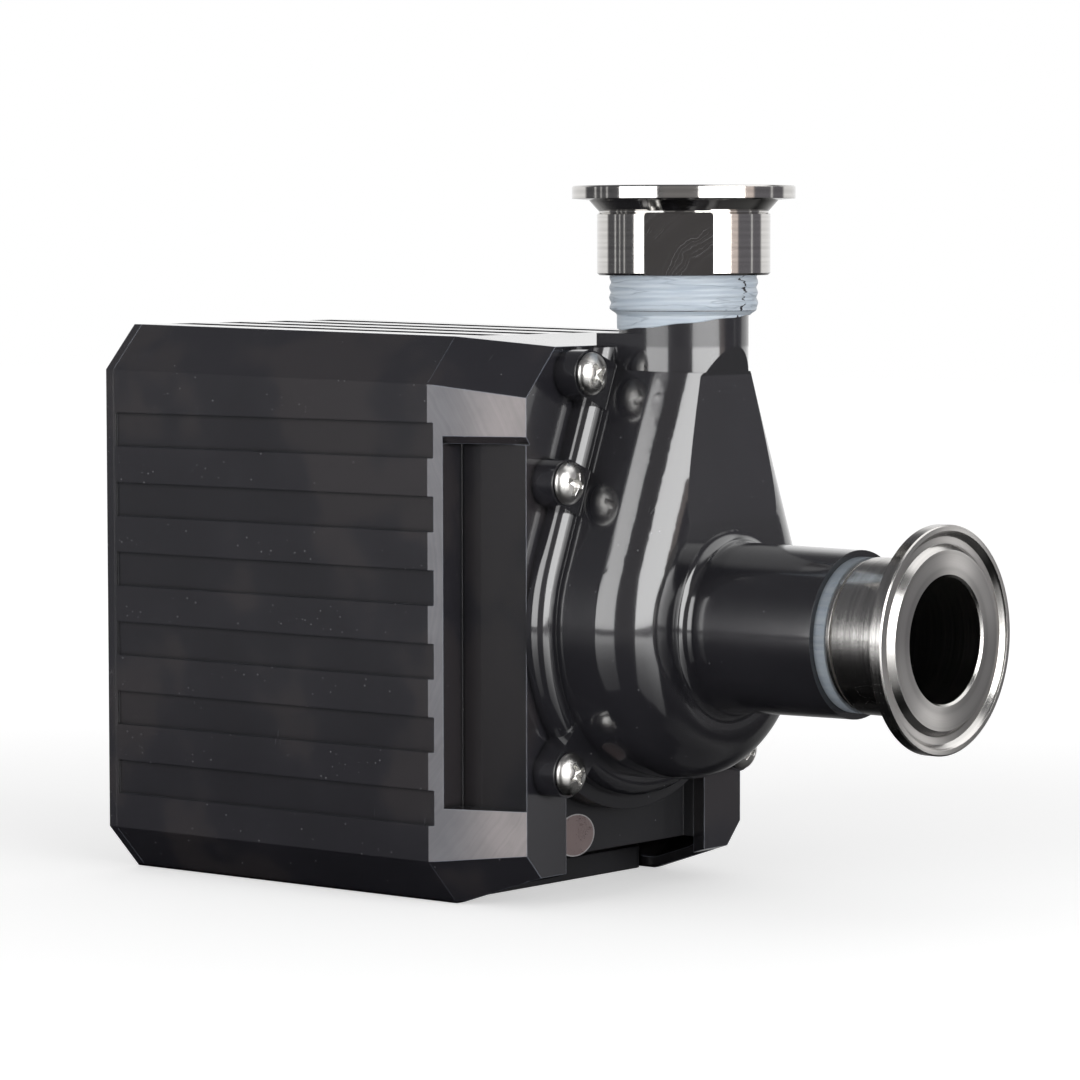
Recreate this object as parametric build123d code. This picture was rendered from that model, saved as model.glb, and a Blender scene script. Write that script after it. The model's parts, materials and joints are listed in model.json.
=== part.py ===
from build123d import *
from math import atan, atan2, cos, degrees, hypot, radians, sin, sqrt
import os

# Magnetic drive pump with a moulded motor cover, in millimetres.
# The pump axis runs along Y and the inlet looks towards -Y. Lengths along the axis are
# measured from the front wall of the cover, and everything is moved at the end so that
# the origin is the centre of the underside of the base plate.

# Shared gaps
clearance = 0.3

# Cover: an octagonal tube that narrows to a front wall
axis_height = 63.0
cover_length = 119.6
cover_half_width = 47.9
cover_top = 67.0
cover_height = axis_height + cover_top
cover_draft = 1.6
cover_nose_length = 22.0
cover_wall = 2.6
corner_width = 9.8
corner_slope = 1.073
nose_side_inset = 8.0
nose_half_width = cover_half_width - nose_side_inset
nose_top_drop = 3.8
nose_top = cover_height - nose_top_drop
nose_bottom = 7.3
nose_top_corner = 10.4
nose_bottom_corner = 5.1
front_wall = 3.2
groove_pitch = 16.53
groove_height = 8.0
groove_depth = 0.5
groove_drop = 1.0
side_groove_count = 6
top_groove_count = 4
groove_end_gap = 0.6
recess_back = 18.6
recess_bottom = 22.7
recess_top_gap = 25.3
recess_top = cover_height - recess_top_gap
recess_bevel_depth = 1.1
recess_bevel_rise = 1.7
notch_side_wall = 14.05
notch_half_width = nose_half_width - notch_side_wall
notch_depth = 6.2
foot_rail_width = 4.5
foot_gap_half_width = nose_half_width - foot_rail_width

# Pump head, from the flange of the rear casing outwards and inwards
can_flange_inset = 3.5
can_flange_radius = nose_half_width - can_flange_inset
can_flange_thickness = 4.0
flange_overlap = 3.8
flange_radius = can_flange_radius + flange_overlap
flange_thickness = 5.0
flange_bead = 3.4
flange_top = 62.9
volute_inset = 4.4
volute_radius = flange_radius - volute_inset
volute_draft = 1.5
volute_depth = 27.5
volute_corner = 12.0
volute_top = 58.0
side_lean = 22.0
front_slant_start = 24.0
front_slant_height = 56.6
front_slant_depth = 2.0
shoulder_top = 63.1
ear_thickness = 5.7
ear_radius = 5.4
ear_web_length = 12.0
neck_radius = 14.7
neck_offset = 13.5
neck_block_top = 66.0
neck_bottom = 44.0
neck_top = 90.0
outlet_bore = 10.5
chamber_wall = 5.8
chamber_radius = volute_radius - chamber_wall
chamber_depth = 23.0
chamber_corner = 7.0
chamber_top = 50.0
nozzle_end = 62.0
nozzle_radius = 18.75
nozzle_base_radius = 19.2
nozzle_fillet = 2.8
inlet_bore = 13.2
thread_radius = 16.3
thread_length = 16.0
thread_relief = 3.0

# Sanitary ferrules, 1.5 inch clamp size on 1 inch pipe threads
ferrule_radius = 25.25
ferrule_rim = 2.9
ferrule_bore = 13.9
ferrule_groove_radius = 21.9
ferrule_groove_width = 3.4
ferrule_groove_depth = 1.3
ferrule_bevel_radius = 21.4
ferrule_root_radius = 20.1
ferrule_bevel_length = 2.8
outlet_face = 99.1
outlet_body_radius = 19.6
outlet_body_length = 14.0
outlet_flat = 18.0
outlet_flat_angle = -56.3
outlet_flat_corner = 0.9
inlet_face = 85.3
inlet_body_radius = 17.4
inlet_shoulder = 66.9
inlet_collar_radius = 16.9
inlet_collar_width = 1.1
inlet_groove_width = 1.0

# Thread tape
tape_thickness = 0.35
tape_ridge_pitch = 2.35
tape_tail = 12.6
tape_slope = 6.3

# Wet end
can_end = 37.5
o_ring_inset = 3.4
o_ring_radius = can_flange_radius - o_ring_inset
o_ring_section = 1.3
spindle_radius = 5.0
spindle_fit = 0.04
spindle_front = 27.0
spindle_back = 34.0
holder_radius = 7.6
holder_back = 23.5
holder_leg = 2.2
holder_leg_back = 2.5
holder_length = 8.0
thrust_thickness = 1.8
impeller_gap = 4.0
impeller_radius = chamber_radius - impeller_gap
vane_count = 6
vane_thickness = 1.8
vane_height = 7.0
vane_sweep = 62.0
vane_curve = 0.75
shroud_thickness = 2.0
impeller_back = 6.0
eye_radius = 12.5
eye_wall = 1.8
eye_length = 4.0
mouth_ring_clearance = 0.4
mouth_ring_wall = 2.6
capsule_front = -2.0
capsule_back = 28.0
bush_radius = 8.5

# Base plate and bracket
base_thickness = 5.2
base_front = 25.0
base_length = 92.0
base_half_width = foot_gap_half_width - clearance
base_corner = 3.0
base_hole_radius = 2.6
base_hole_side_inset = 10.1
base_hole_end_inset = 11.0
bracket_side_gap = 0.6
bracket_half_width = nose_half_width - cover_wall - bracket_side_gap
bracket_bottom = 10.1
bracket_back = 9.7
bracket_corner = 7.6
bracket_foot_corner = 3.0
rim_width = 7.0
rim_radius = can_flange_radius + rim_width
tunnel_inset = 0.4
tunnel_radius = can_flange_radius - tunnel_inset
tunnel_wall = 3.4
tunnel_bore = tunnel_radius - tunnel_wall
foot_front = 30.0
foot_length = 24.0
foot_side_inset = 6.0
foot_half_width = tunnel_radius - foot_side_inset
foot_thickness = 8.0
foot_screw_inset = 15.0
foot_screw_sink = 2.6

# Magnetic coupling: the cup in the tunnel, and the capsule in the can
cup_gap = 1.6
cup_radius = tunnel_bore - cup_gap
cup_wall = 3.0
magnet_radius = cup_radius - cup_wall
magnet_thickness = 4.0
magnet_bore = magnet_radius - magnet_thickness
can_gap = 0.8
can_radius = magnet_bore - can_gap
can_wall = 1.5
capsule_gap = 0.6
capsule_radius = can_radius - can_wall - capsule_gap
capsule_wall = 0.8
cup_front = 12.0
cup_back = 44.0
cup_floor = 4.0
cup_hub_radius = 11.0
set_screw_radius = 1.95
set_screw_fit = 0.05
set_screw_socket_radius = 1.1
set_screw_socket_depth = 1.8
cup_hub_length = 7.0
magnet_count = 8
magnet_gap_angle = 4.0
magnet_end_gap = 2.0

# Motor, which fills the cover from the bracket's bell to the fan
shaft_radius = 4.0
shaft_front = 41.5
shaft_tail = 1.0
bell_front = 53.0
bell_depth = 13.0
bell_thickness = 4.0
motor_gap = 4.3
stator_radius = cover_half_width - cover_wall - motor_gap
stator_front = bell_front + bell_depth
stator_bore = 20.9
rotor_radius = 20.5
winding_bore = 23.0
winding_inset = 8.0
winding_radius = stator_radius - winding_inset
winding_length = 8.0
winding_corner = 3.0
bell_overhang = 2.0
bell_radius = stator_radius + bell_overhang
winding_clearance = 1.0
bell_bore = winding_radius + winding_clearance
bell_end_gap = 4.0
bearing_radius = 11.0
bearing_width = 7.0
bearing_hub_radius = 14.5
bearing_split_outer = 8.6
bearing_split_inner = 6.9
through_bolt_radius = 2.0
through_bolt_inset = 3.4
through_bolt_circle = stator_radius - through_bolt_inset
bolt_head_radius = 3.6
fan_side_gap = 1.0
fan_radius = through_bolt_circle - bolt_head_radius - fan_side_gap
fan_width = 6.0
fan_back_gap = 3.6
fan_front_gap = 2.0
fan_front = cover_length - fan_back_gap - fan_width
fan_hub_radius = 9.0
fan_blade_count = 9
shaft_back = fan_front + fan_width + shaft_tail
stator_length = fan_front - fan_front_gap - bell_end_gap - winding_length - stator_front
capacitor_radius = 10.5
capacitor_gap = 1.0
capacitor_front = recess_back + cover_wall + capacitor_gap
capacitor_lift = 2.0
capacitor_angle = 34.0
capacitor_clip_wall = 1.4
capacitor_clip_width = 8.0
capacitor_length = bell_front - capacitor_gap - capacitor_front
terminal_width = 9.0
terminal_length = 28.0
terminal_height = 10.5
terminal_side_inset = 2.1
terminal_back_gap = 16.6
terminal_hole_radius = 2.6
terminal_hole_pitch = 9.0

# Rear panel
rear_panel_thickness = 2.4
vent_slot_width = 3.2
vent_slot_pitch = 7.2
vent_radius = fan_radius
panel_screw_side_inset = 7.4
panel_screw_low = 22.5
panel_screw_top_gap = 26.5
corner_boss_radius = 4.2
corner_boss_length = 12.0
bushing_radius = 5.5
bushing_inset = 14.5
bushing_x = bushing_inset + panel_screw_side_inset - cover_half_width
bushing_height = 16.0

# Fasteners and the label
screw_radius = 2.5
screw_head_radius = 4.85
screw_head_height = 3.0
screw_recess_width = 1.3
screw_recess_length = 5.0
screw_recess_depth = 1.6
screw_reach = 14.6
top_screw_height = 57.1
top_screw_gap = 8.86
middle_screw_height = 33.0
middle_screw_inset = 7.3
low_screw_height = -32.0
low_screw_inset = 7.7
volute_side = (volute_radius - top_screw_height * sin(radians(side_lean))) / cos(radians(side_lean))
top_screw_x = max(volute_side + top_screw_gap, neck_radius + screw_head_radius + clearance)
ear_screws = [
    (top_screw_x, top_screw_height),
    (nose_half_width - middle_screw_inset, middle_screw_height),
    (nose_half_width - low_screw_inset, low_screw_height),
]
foot_screw_reach = 9.0
foot_screw_fit = 0.2
foot_socket_radius = 2.0
foot_socket_depth = 1.2
label_half_width = 6.9
label_half_height = 4.86
label_thickness = 0.15
label_side_inset = 10.95
label_x = label_side_inset - notch_half_width
label_height = 14.4

axis_shift_y = -(base_front + base_length / 2)
pump_axis = Pos(0, 0, axis_height)


def front_plane(y):
    return Plane(origin=(0, y, 0), x_dir=(1, 0, 0), z_dir=(0, -1, 0))


def slab(outline, y_back, y_front):
    """Extrude an outline drawn around the pump axis, as x and height, towards the inlet."""
    face = front_plane(y_back) * (Pos(0, axis_height) * outline)
    return extrude(face, amount=y_back - y_front)


def turned(profile):
    """Turn a profile of (radius, y) points around the pump axis."""
    return pump_axis * revolve(Polygon(*profile, align=None), axis=Axis.Y)


def turned_upright(profile):
    """Turn a profile of (radius, height above the pump axis) points around the outlet axis."""
    face = Plane.XZ * Polygon(*profile, align=None)
    return Pos(0, -neck_offset, axis_height) * revolve(face, axis=Axis.Z)


def rod(radius, y_back, y_front, x=0.0, height=0.0):
    """A round bar along the pump axis direction."""
    return slab(Pos(x, height) * Circle(radius), y_back, y_front)


def ring(outer, inner, y_back, y_front):
    return slab(Circle(outer) - Circle(inner), y_back, y_front)


def box(x_min, x_max, y_min, y_max, z_min, z_max):
    size = Box(x_max - x_min, y_max - y_min, z_max - z_min)
    return Pos((x_min + x_max) / 2, (y_min + y_max) / 2, (z_min + z_max) / 2) * size


def mirrored(shape):
    return mirror(shape, about=Plane.YZ)


def top_half_width(radius, top):
    """Half width of a teardrop outline's flat top."""
    lean = radians(side_lean)
    return (radius - top * sin(lean)) / cos(lean)


def teardrop(radius, top):
    """Round outline whose two straight sides lean in tangentially to a narrower flat top."""
    lean = radians(side_lean)
    touch_x = radius * cos(lean)
    touch_z = radius * sin(lean)
    top_x = top_half_width(radius, top)
    edges = [
        ThreePointArc((-touch_x, touch_z), (0, -radius), (touch_x, touch_z)),
        Line((touch_x, touch_z), (top_x, top)),
        Line((top_x, top), (-top_x, top)),
        Line((-top_x, top), (-touch_x, touch_z)),
    ]
    return make_face(edges)


def front_rim(body, top):
    """Front edges of a teardrop slab, without the edge along its flat top."""
    front_edges = body.edges().group_by(Axis.Y)[0]
    return [edge for edge in front_edges if edge.center().Z < axis_height + top - 1.0]


def cover_section(y):
    """Octagon of the cover at a distance behind its front wall."""
    share = min(y / cover_nose_length, 1.0)
    along = max(y - cover_nose_length, 0.0) / (cover_length - cover_nose_length)
    main_top = cover_height - cover_draft * (1 - along)
    half = nose_half_width + (cover_half_width - nose_half_width) * share
    top = nose_top + (main_top - nose_top) * share
    bottom = nose_bottom * (1 - share)
    upper = nose_top_corner + (corner_width - nose_top_corner) * share
    lower = nose_bottom_corner + (corner_width - nose_bottom_corner) * share
    points = [
        (half - lower, bottom),
        (half, bottom + lower * corner_slope),
        (half, top - upper * corner_slope),
        (half - upper, top),
        (upper - half, top),
        (-half, top - upper * corner_slope),
        (-half, bottom + lower * corner_slope),
        (lower - half, bottom),
    ]
    return Polygon(*points, align=None)


def cover_body(inset, y_front, y_back):
    """The cover's outer form, or its inside at a given inset, between two stations."""
    stations = [y_front]
    if y_front < cover_nose_length < y_back:
        stations.append(cover_nose_length)
    stations.append(y_back)
    faces = []
    for y in stations:
        outline = cover_section(y)
        if inset > 0:
            outline = offset(outline, amount=-inset, kind=Kind.INTERSECTION)
        faces.append(front_plane(y) * outline)
    body = loft(faces[:2], ruled=True)
    for back, front in zip(faces[1:], faces[2:]):
        body += loft([back, front], ruled=True)
    return body


def recess_box(grow):
    """The window-like recess in the left front facet, or its walls when it is grown."""
    return box(
        -cover_half_width - clearance,
        -nose_half_width + grow,
        -grow,
        recess_back + grow,
        recess_bottom - grow,
        recess_top + grow,
    )


def recess_bevel():
    """Wedge that bevels the top edge of the recess, along the slanting front facet."""
    along = Vector(-nose_side_inset, cover_nose_length, 0).normalized()
    outward = Vector(-cover_nose_length, -nose_side_inset, 0).normalized()
    start = Vector(-nose_half_width, 0, recess_top)
    section = Polygon(
        (-recess_bevel_depth, 0),
        (recess_bevel_depth, 0),
        (recess_bevel_depth, 2 * recess_bevel_rise),
        align=None,
    )
    plane = Plane(origin=start - along, x_dir=outward, z_dir=along)
    reach = recess_back * hypot(cover_nose_length, nose_side_inset) / cover_nose_length
    return extrude(plane * section, amount=reach + 1.0)


def side_groove(height):
    return box(
        -cover_half_width - groove_depth,
        -cover_half_width + groove_depth,
        cover_nose_length / 2,
        cover_length - groove_end_gap,
        height - groove_height,
        height,
    )


def make_motor_cover():
    shell = cover_body(0, 0, cover_length)
    inside = cover_body(cover_wall, front_wall, cover_length)
    cover = shell - inside
    pocket = shell & recess_box(cover_wall)
    cover += pocket + mirrored(pocket)

    cut = recess_box(0) + recess_bevel()
    groove_middle = cover_height / 2 - groove_drop
    groove_top = groove_middle + (side_groove_count - 1) * groove_pitch / 2 + groove_height / 2
    for index in range(side_groove_count):
        cut += side_groove(groove_top - index * groove_pitch)
    cover -= cut
    cover -= mirrored(cut)

    for index in range(top_groove_count):
        middle = (index - (top_groove_count - 1) / 2) * groove_pitch
        groove = box(
            middle - groove_height / 2,
            middle + groove_height / 2,
            0,
            cover_length - cover_nose_length - groove_end_gap,
            -groove_depth,
            groove_depth,
        )
        tilt = degrees(atan(cover_draft / (cover_length - cover_nose_length)))
        cover -= Pos(0, cover_nose_length, cover_height - cover_draft) * Rot(tilt, 0, 0) * groove

    opening = slab(Circle(can_flange_radius + clearance), front_wall, 0)
    notch_top = sqrt(can_flange_radius ** 2 - notch_half_width ** 2)
    notch = box(
        -notch_half_width,
        notch_half_width,
        0,
        front_wall,
        0,
        axis_height - notch_top,
    )
    cover -= opening + notch
    cover -= box(
        -foot_gap_half_width,
        foot_gap_half_width,
        front_wall,
        cover_length,
        0,
        nose_bottom + cover_wall + clearance,
    )
    holes = screw_holes(screw_radius + clearance, front_wall, 0)
    cover -= holes

    bosses = None
    reach = cover_length - corner_boss_length
    for x, height in corner_screw_places():
        boss = rod(corner_boss_radius, cover_length, reach, x, height)
        side = 1 if x > 0 else -1
        wing = slab(
            Pos(x + side * corner_boss_radius / 1.5, height) * Rectangle(1.5 * corner_boss_radius, corner_boss_radius),
            cover_length,
            reach,
        )
        boss = (boss + wing) & cover_body(0, reach, cover_length)
        boss -= rod(screw_radius - 1.0, cover_length, reach, x, height)
        bosses = boss if bosses is None else bosses + boss
    return cover + bosses


def corner_screw_places():
    """Places of the rear panel's screws, as x and height above the pump axis."""
    side = cover_half_width - panel_screw_side_inset
    low = panel_screw_low - axis_height
    high = cover_top - panel_screw_top_gap
    return [(-side, low), (-side, high), (side, low), (side, high)]


def screw_holes(radius, y_back, y_front):
    holes = None
    for x, height in ear_screws:
        hole = rod(radius, y_back, y_front, x, height)
        hole += rod(radius, y_back, y_front, -x, height)
        holes = hole if holes is None else holes + hole
    return holes


def make_rear_panel():
    y_back = cover_length + rear_panel_thickness
    panel = extrude(front_plane(y_back) * cover_section(cover_length), amount=rear_panel_thickness)
    rows = int(vent_radius / vent_slot_pitch)
    for index in range(-rows, rows + 1):
        height = index * vent_slot_pitch
        half_length = sqrt(vent_radius ** 2 - height ** 2) - vent_slot_width
        slot = Pos(0, height) * SlotOverall(2 * half_length, vent_slot_width)
        panel -= slab(slot, y_back, cover_length)
    for x, height in corner_screw_places():
        panel -= rod(screw_radius - 0.4, y_back, cover_length, x, height)
    panel -= rod(bushing_radius, y_back, cover_length, bushing_x, bushing_height - axis_height)
    return panel - base_body(clearance)


def make_cable_bushing():
    y_back = cover_length + rear_panel_thickness
    height = bushing_height - axis_height
    outer = rod(bushing_radius + 1.8, y_back + 2.2, y_back, bushing_x, height)
    neck = rod(bushing_radius - 0.05, y_back, cover_length, bushing_x, height)
    inner = rod(bushing_radius + 1.4, cover_length, cover_length - 2.0, bushing_x, height)
    bore = rod(bushing_radius - 2.2, y_back + 3.0, cover_length - 3.0, bushing_x, height)
    return outer + neck + inner - bore


def small_pan_screw(radius, head_radius, head_height, seat, reach, x, height):
    """Pan head screw along Y that goes in towards -Y from a seat plane."""
    head = rod(head_radius, seat + head_height, seat, x, height)
    head = fillet(head.edges().group_by(Axis.Y)[-1], head_height * 0.6)
    slot = Rectangle(0.3 * head_radius, 1.1 * head_radius) + Rectangle(1.1 * head_radius, 0.3 * head_radius)
    cut = slab(Pos(x, height) * slot, seat + head_height, seat + head_height * 0.5)
    return head - cut + rod(radius, seat, seat - reach, x, height)


def make_rear_panel_screws():
    seat = cover_length + rear_panel_thickness
    screws = []
    for x, height in corner_screw_places():
        screws.append(small_pan_screw(screw_radius - 1.05, 3.0, 2.0, seat, corner_boss_length, x, height))
    return Compound(children=screws)


def base_bolt_holes(height):
    """Holes for the bolts that come up from below, to a height above the underside."""
    holes = None
    side = base_half_width - base_hole_side_inset
    for x in (-side, side):
        for y in (base_front + base_hole_end_inset, base_front + base_length - base_hole_end_inset):
            hole = Pos(x, y, height / 2) * Cylinder(base_hole_radius, height)
            holes = hole if holes is None else holes + hole
    return holes


def base_body(grow):
    """The base plate's outline, or the way through for it when it is grown."""
    return box(
        -base_half_width - grow,
        base_half_width + grow,
        base_front - grow,
        base_front + base_length + grow,
        -grow,
        base_thickness + grow,
    )


def make_base_plate():
    plate = base_body(0)
    plate = fillet(plate.edges().filter_by(Axis.Z), base_corner)
    plate -= base_bolt_holes(base_thickness)
    for x, y in foot_screw_places():
        plate -= Pos(x, y, 0) * Cylinder(screw_radius, 3 * base_thickness)
        plate -= Pos(x, y, 0) * Cylinder(screw_head_radius, 2 * foot_screw_sink)
    return plate


def foot_screw_places():
    y_middle = foot_front + foot_length / 2
    x = foot_half_width - foot_screw_inset
    return [(-x, y_middle), (x, y_middle)]


def make_bracket_screws():
    screws = []
    for x, y in foot_screw_places():
        head_height = foot_screw_sink - 2 * foot_screw_fit
        head = Cylinder(screw_head_radius - foot_screw_fit, head_height)
        head = Pos(x, y, foot_screw_sink / 2 + foot_screw_fit) * head
        shank = Cylinder(screw_radius - foot_screw_fit / 2, foot_screw_reach)
        shank = Pos(x, y, foot_screw_sink + foot_screw_reach / 2) * shank
        socket = extrude(RegularPolygon(foot_socket_radius, 6), amount=foot_socket_depth)
        socket = Pos(x, y, foot_screw_fit) * socket
        screws.append(head + shank - socket)
    return Compound(children=screws)


def make_motor_bracket():
    half = bracket_half_width
    top = nose_top - cover_wall - 0.4
    outline = Polygon(
        (bracket_foot_corner - half, bracket_bottom),
        (half - bracket_foot_corner, bracket_bottom),
        (half, bracket_bottom + bracket_foot_corner * corner_slope),
        (half, top - bracket_corner * corner_slope),
        (half - bracket_corner, top),
        (bracket_corner - half, top),
        (-half, top - bracket_corner * corner_slope),
        (-half, bracket_bottom + bracket_foot_corner * corner_slope),
        align=None,
    )
    plate = extrude(front_plane(bracket_back) * outline, amount=bracket_back - front_wall)
    window = box(
        -notch_half_width,
        notch_half_width,
        front_wall,
        notch_depth,
        bracket_bottom,
        axis_height - sqrt(can_flange_radius ** 2 - notch_half_width ** 2),
    )
    plate -= window
    rim = rod(rim_radius, notch_depth, front_wall)
    front_rim = rod(rim_radius, front_wall, 0.0)
    keep = box(
        -notch_half_width + clearance,
        notch_half_width - clearance,
        0,
        notch_depth,
        0,
        axis_height - sqrt(can_flange_radius ** 2 - notch_half_width ** 2) - clearance,
    )
    plate += (rim & box(-notch_half_width, notch_half_width, 0, notch_depth, 0, axis_height))
    plate += front_rim & keep
    seat_radius = can_flange_radius + clearance
    plate -= rod(seat_radius, can_flange_thickness, -1.0)

    tunnel = ring(tunnel_radius, tunnel_bore, bell_front + 1.0, bracket_back)
    bell = ring(bell_radius, bearing_radius, bell_front + bell_thickness, bell_front)
    rim_tube = ring(bell_radius, bell_bore, stator_front, bell_front)
    bearing_hub = ring(bearing_hub_radius, bearing_radius, bell_front + bearing_width, bell_front)
    plate -= rod(tunnel_bore, bracket_back, can_flange_thickness)
    bracket = plate + tunnel + bell + rim_tube + bearing_hub
    bracket -= ring(stator_radius + 0.05, bell_bore, stator_front, stator_front - 2.0)

    foot = box(
        -foot_half_width,
        foot_half_width,
        foot_front,
        foot_front + foot_length,
        base_thickness,
        axis_height - sqrt(tunnel_radius ** 2 - foot_half_width ** 2) + 1.0,
    )
    foot -= rod(tunnel_radius - 1.0, foot_front + foot_length, foot_front)
    hollow = box(
        -foot_half_width + 4.0,
        foot_half_width - 4.0,
        foot_front + 4.0,
        foot_front + foot_length - 4.0,
        base_thickness + foot_thickness,
        axis_height,
    )
    foot -= hollow - rod(tunnel_radius, foot_front + foot_length, foot_front)
    bracket += foot
    bracket -= rod(tunnel_bore, bell_front, can_flange_thickness)
    for x, y in foot_screw_places():
        bracket -= Pos(x, y, base_thickness) * Cylinder(screw_radius - 0.05, 2 * (foot_thickness - 1.0))
    bracket -= base_bolt_holes(base_thickness + foot_thickness - 1.0)
    bracket -= screw_holes(screw_radius + 0.05, bracket_back, front_wall)
    bracket -= slab(label_outline(0.5), notch_depth, 0)
    for x, height in through_bolt_places():
        bracket -= rod(through_bolt_radius + 0.05, stator_front, bell_front + bell_thickness - 1.0, x, height)
    saddle = capacitor_turn() * slab(
        Pos(0, tunnel_radius + capacitor_lift - 0.5) * Rectangle(1.6 * capacitor_radius, 9.0),
        capacitor_front + capacitor_length - 4.0,
        capacitor_front + 4.0,
    )
    clip_back = capacitor_front + (capacitor_length + capacitor_clip_width) / 2
    clip_radius = capacitor_radius + capacitor_clip_wall
    saddle += capacitor_bar(clip_radius, clip_back, clip_back - capacitor_clip_width)
    saddle -= rod(tunnel_radius - 1.0, bell_front, bracket_back)
    saddle -= capacitor_bar(capacitor_radius, bell_front, bracket_back)
    return bracket + saddle


def capacitor_turn():
    """Turn around the pump axis that moves the capacitor into the cover's upper corner."""
    return pump_axis * Rot(0, capacitor_angle, 0) * pump_axis.inverse()


def capacitor_bar(radius, y_back, y_front):
    height = tunnel_radius + capacitor_lift + capacitor_radius
    return capacitor_turn() * rod(radius, y_back, y_front, 0, height)


def through_bolt_places():
    places = []
    for index in range(4):
        angle = radians(45 + 90 * index)
        places.append((through_bolt_circle * cos(angle), through_bolt_circle * sin(angle)))
    return places


def label_outline(grow):
    return Pos(label_x, label_height - axis_height) * Ellipse(label_half_width + grow, label_half_height + grow)


def make_inspection_label():
    return slab(label_outline(0), notch_depth, notch_depth - label_thickness)


def volute_body():
    outline = front_plane(0) * (Pos(0, axis_height) * teardrop(volute_radius, volute_top))
    body = extrude(outline, amount=volute_depth, taper=volute_draft)
    return fillet(front_rim(body, volute_top), volute_rounding())


def volute_rounding():
    """Radius of the volute's front edge, which its narrow top limits."""
    return min(volute_corner, 0.8 * top_half_width(volute_radius, volute_top))


def add_nozzle(volute):
    """Join the inlet nozzle to the volute's front face, with a rounded root."""
    head = volute + turned([
        (0, -volute_depth + 4.0),
        (nozzle_base_radius, -volute_depth + 4.0),
        (nozzle_base_radius, -volute_depth),
        (nozzle_radius, -nozzle_end),
        (0, -nozzle_end),
    ])
    circles = head.edges().filter_by(GeomType.CIRCLE)
    on_face = [edge for edge in circles if abs(edge.center().Y + volute_depth) < 0.01]
    root = [edge for edge in on_face if edge.radius < nozzle_base_radius + clearance]
    flat_width = volute_radius - volute_rounding() - nozzle_base_radius
    return fillet(root, min(nozzle_fillet, flat_width - 1.0))


def ear(x, height):
    """Round screw boss with a web that runs in to the side of the volute."""
    pad = Pos(x, height) * Circle(ear_radius)
    direction = atan2(height, x) if height < 0 else radians(side_lean)
    middle = Pos(x - ear_web_length / 2 * cos(direction), height - ear_web_length / 2 * sin(direction))
    pad += middle * Rot(0, 0, degrees(direction)) * Rectangle(ear_web_length, 2 * ear_radius)
    return slab(pad, 0, -ear_thickness)


def upright_cylinder(radius, bottom, top):
    """Cylinder around the outlet axis between two heights above the pump axis."""
    body = Cylinder(radius, top - bottom, align=(Align.CENTER, Align.CENTER, Align.MIN))
    return Pos(0, -neck_offset, axis_height + bottom) * body


def thread_bottom():
    return neck_top - thread_length - thread_relief


def make_front_casing():
    flange = slab(teardrop(flange_radius, flange_top), 0, -flange_thickness)
    flange = fillet(front_rim(flange, flange_top), flange_bead)
    casing = flange + add_nozzle(volute_body())
    for x, height in ear_screws:
        pad = ear(x, height)
        casing += pad + mirrored(pad)
    neck = upright_cylinder(neck_radius, neck_bottom, thread_bottom())
    neck -= box(-neck_radius, neck_radius, 0, neck_radius, 0, axis_height + neck_block_top)
    casing += neck
    casing += upright_cylinder(thread_radius, thread_bottom(), neck_top)
    casing += box(
        -neck_radius,
        neck_radius,
        -neck_offset,
        0,
        axis_height + neck_bottom,
        axis_height + neck_block_top,
    )
    slant_y = -volute_depth + front_slant_depth
    neck_front = -neck_offset - neck_radius
    undercut = Polygon(
        (-volute_depth, front_slant_start),
        (slant_y, front_slant_height),
        (neck_front, shoulder_top),
        (neck_front - neck_radius, shoulder_top),
        (neck_front - neck_radius, front_slant_start),
        align=None,
    )
    undercut = extrude(Plane.YZ * undercut, amount=volute_radius, both=True)
    casing -= pump_axis * undercut

    chamber = slab(teardrop(chamber_radius, chamber_top), 0, -chamber_depth)
    chamber_rounding = min(chamber_corner, 0.6 * top_half_width(chamber_radius, chamber_top))
    casing -= fillet(front_rim(chamber, chamber_top), chamber_rounding)
    casing -= upright_cylinder(outlet_bore, chamber_top - 8.0, neck_top + 1.0)
    casing -= rod(inlet_bore, -chamber_depth + 1.0, -nozzle_end - 1.0)
    casing -= rod(thread_radius, -nozzle_end + thread_length, -nozzle_end - 1.0)
    seat_radius = eye_radius + eye_wall + mouth_ring_clearance + mouth_ring_wall
    casing -= rod(seat_radius, -chamber_depth + 1.0, -chamber_depth - 2.0)
    casing -= screw_holes(screw_radius + clearance, 0, -ear_thickness - 1.0)

    holder = rod(holder_radius, -holder_back, -holder_back - holder_length)
    leg_outline = Pos(0, inlet_bore / 2) * Rectangle(holder_leg, inlet_bore + 1.0)
    for index in range(3):
        leg = Rot(0, 0, 120 * index) * leg_outline
        holder += slab(leg, -holder_back - holder_leg_back, -holder_back - holder_length)
    holder -= rod(spindle_radius, -holder_back, -spindle_front)
    return casing + holder


def make_casing_o_ring():
    profile = Pos(o_ring_radius, o_ring_section) * Circle(o_ring_section)
    return pump_axis * revolve(profile, axis=Axis.Y)


def make_rear_casing():
    profile = [
        (can_radius - can_wall, 0),
        (can_flange_radius, 0),
        (can_flange_radius, can_flange_thickness),
        (can_radius, can_flange_thickness),
        (can_radius, can_end),
        (0, can_end),
        (0, can_end - 2.0),
        (can_radius - can_wall, can_end - 2.0),
    ]
    can = turned(profile)
    groove = ring(o_ring_radius + 1.4, o_ring_radius - 1.4, 2 * o_ring_section, 0)
    boss = ring(bush_radius, spindle_radius, can_end - 2.0, capsule_back + thrust_thickness + 0.2)
    return can - groove + boss


def make_pump_spindle():
    spindle = rod(spindle_radius, spindle_back, -spindle_front)
    return chamfer(spindle.edges().filter_by(GeomType.CIRCLE), 0.5)


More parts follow.
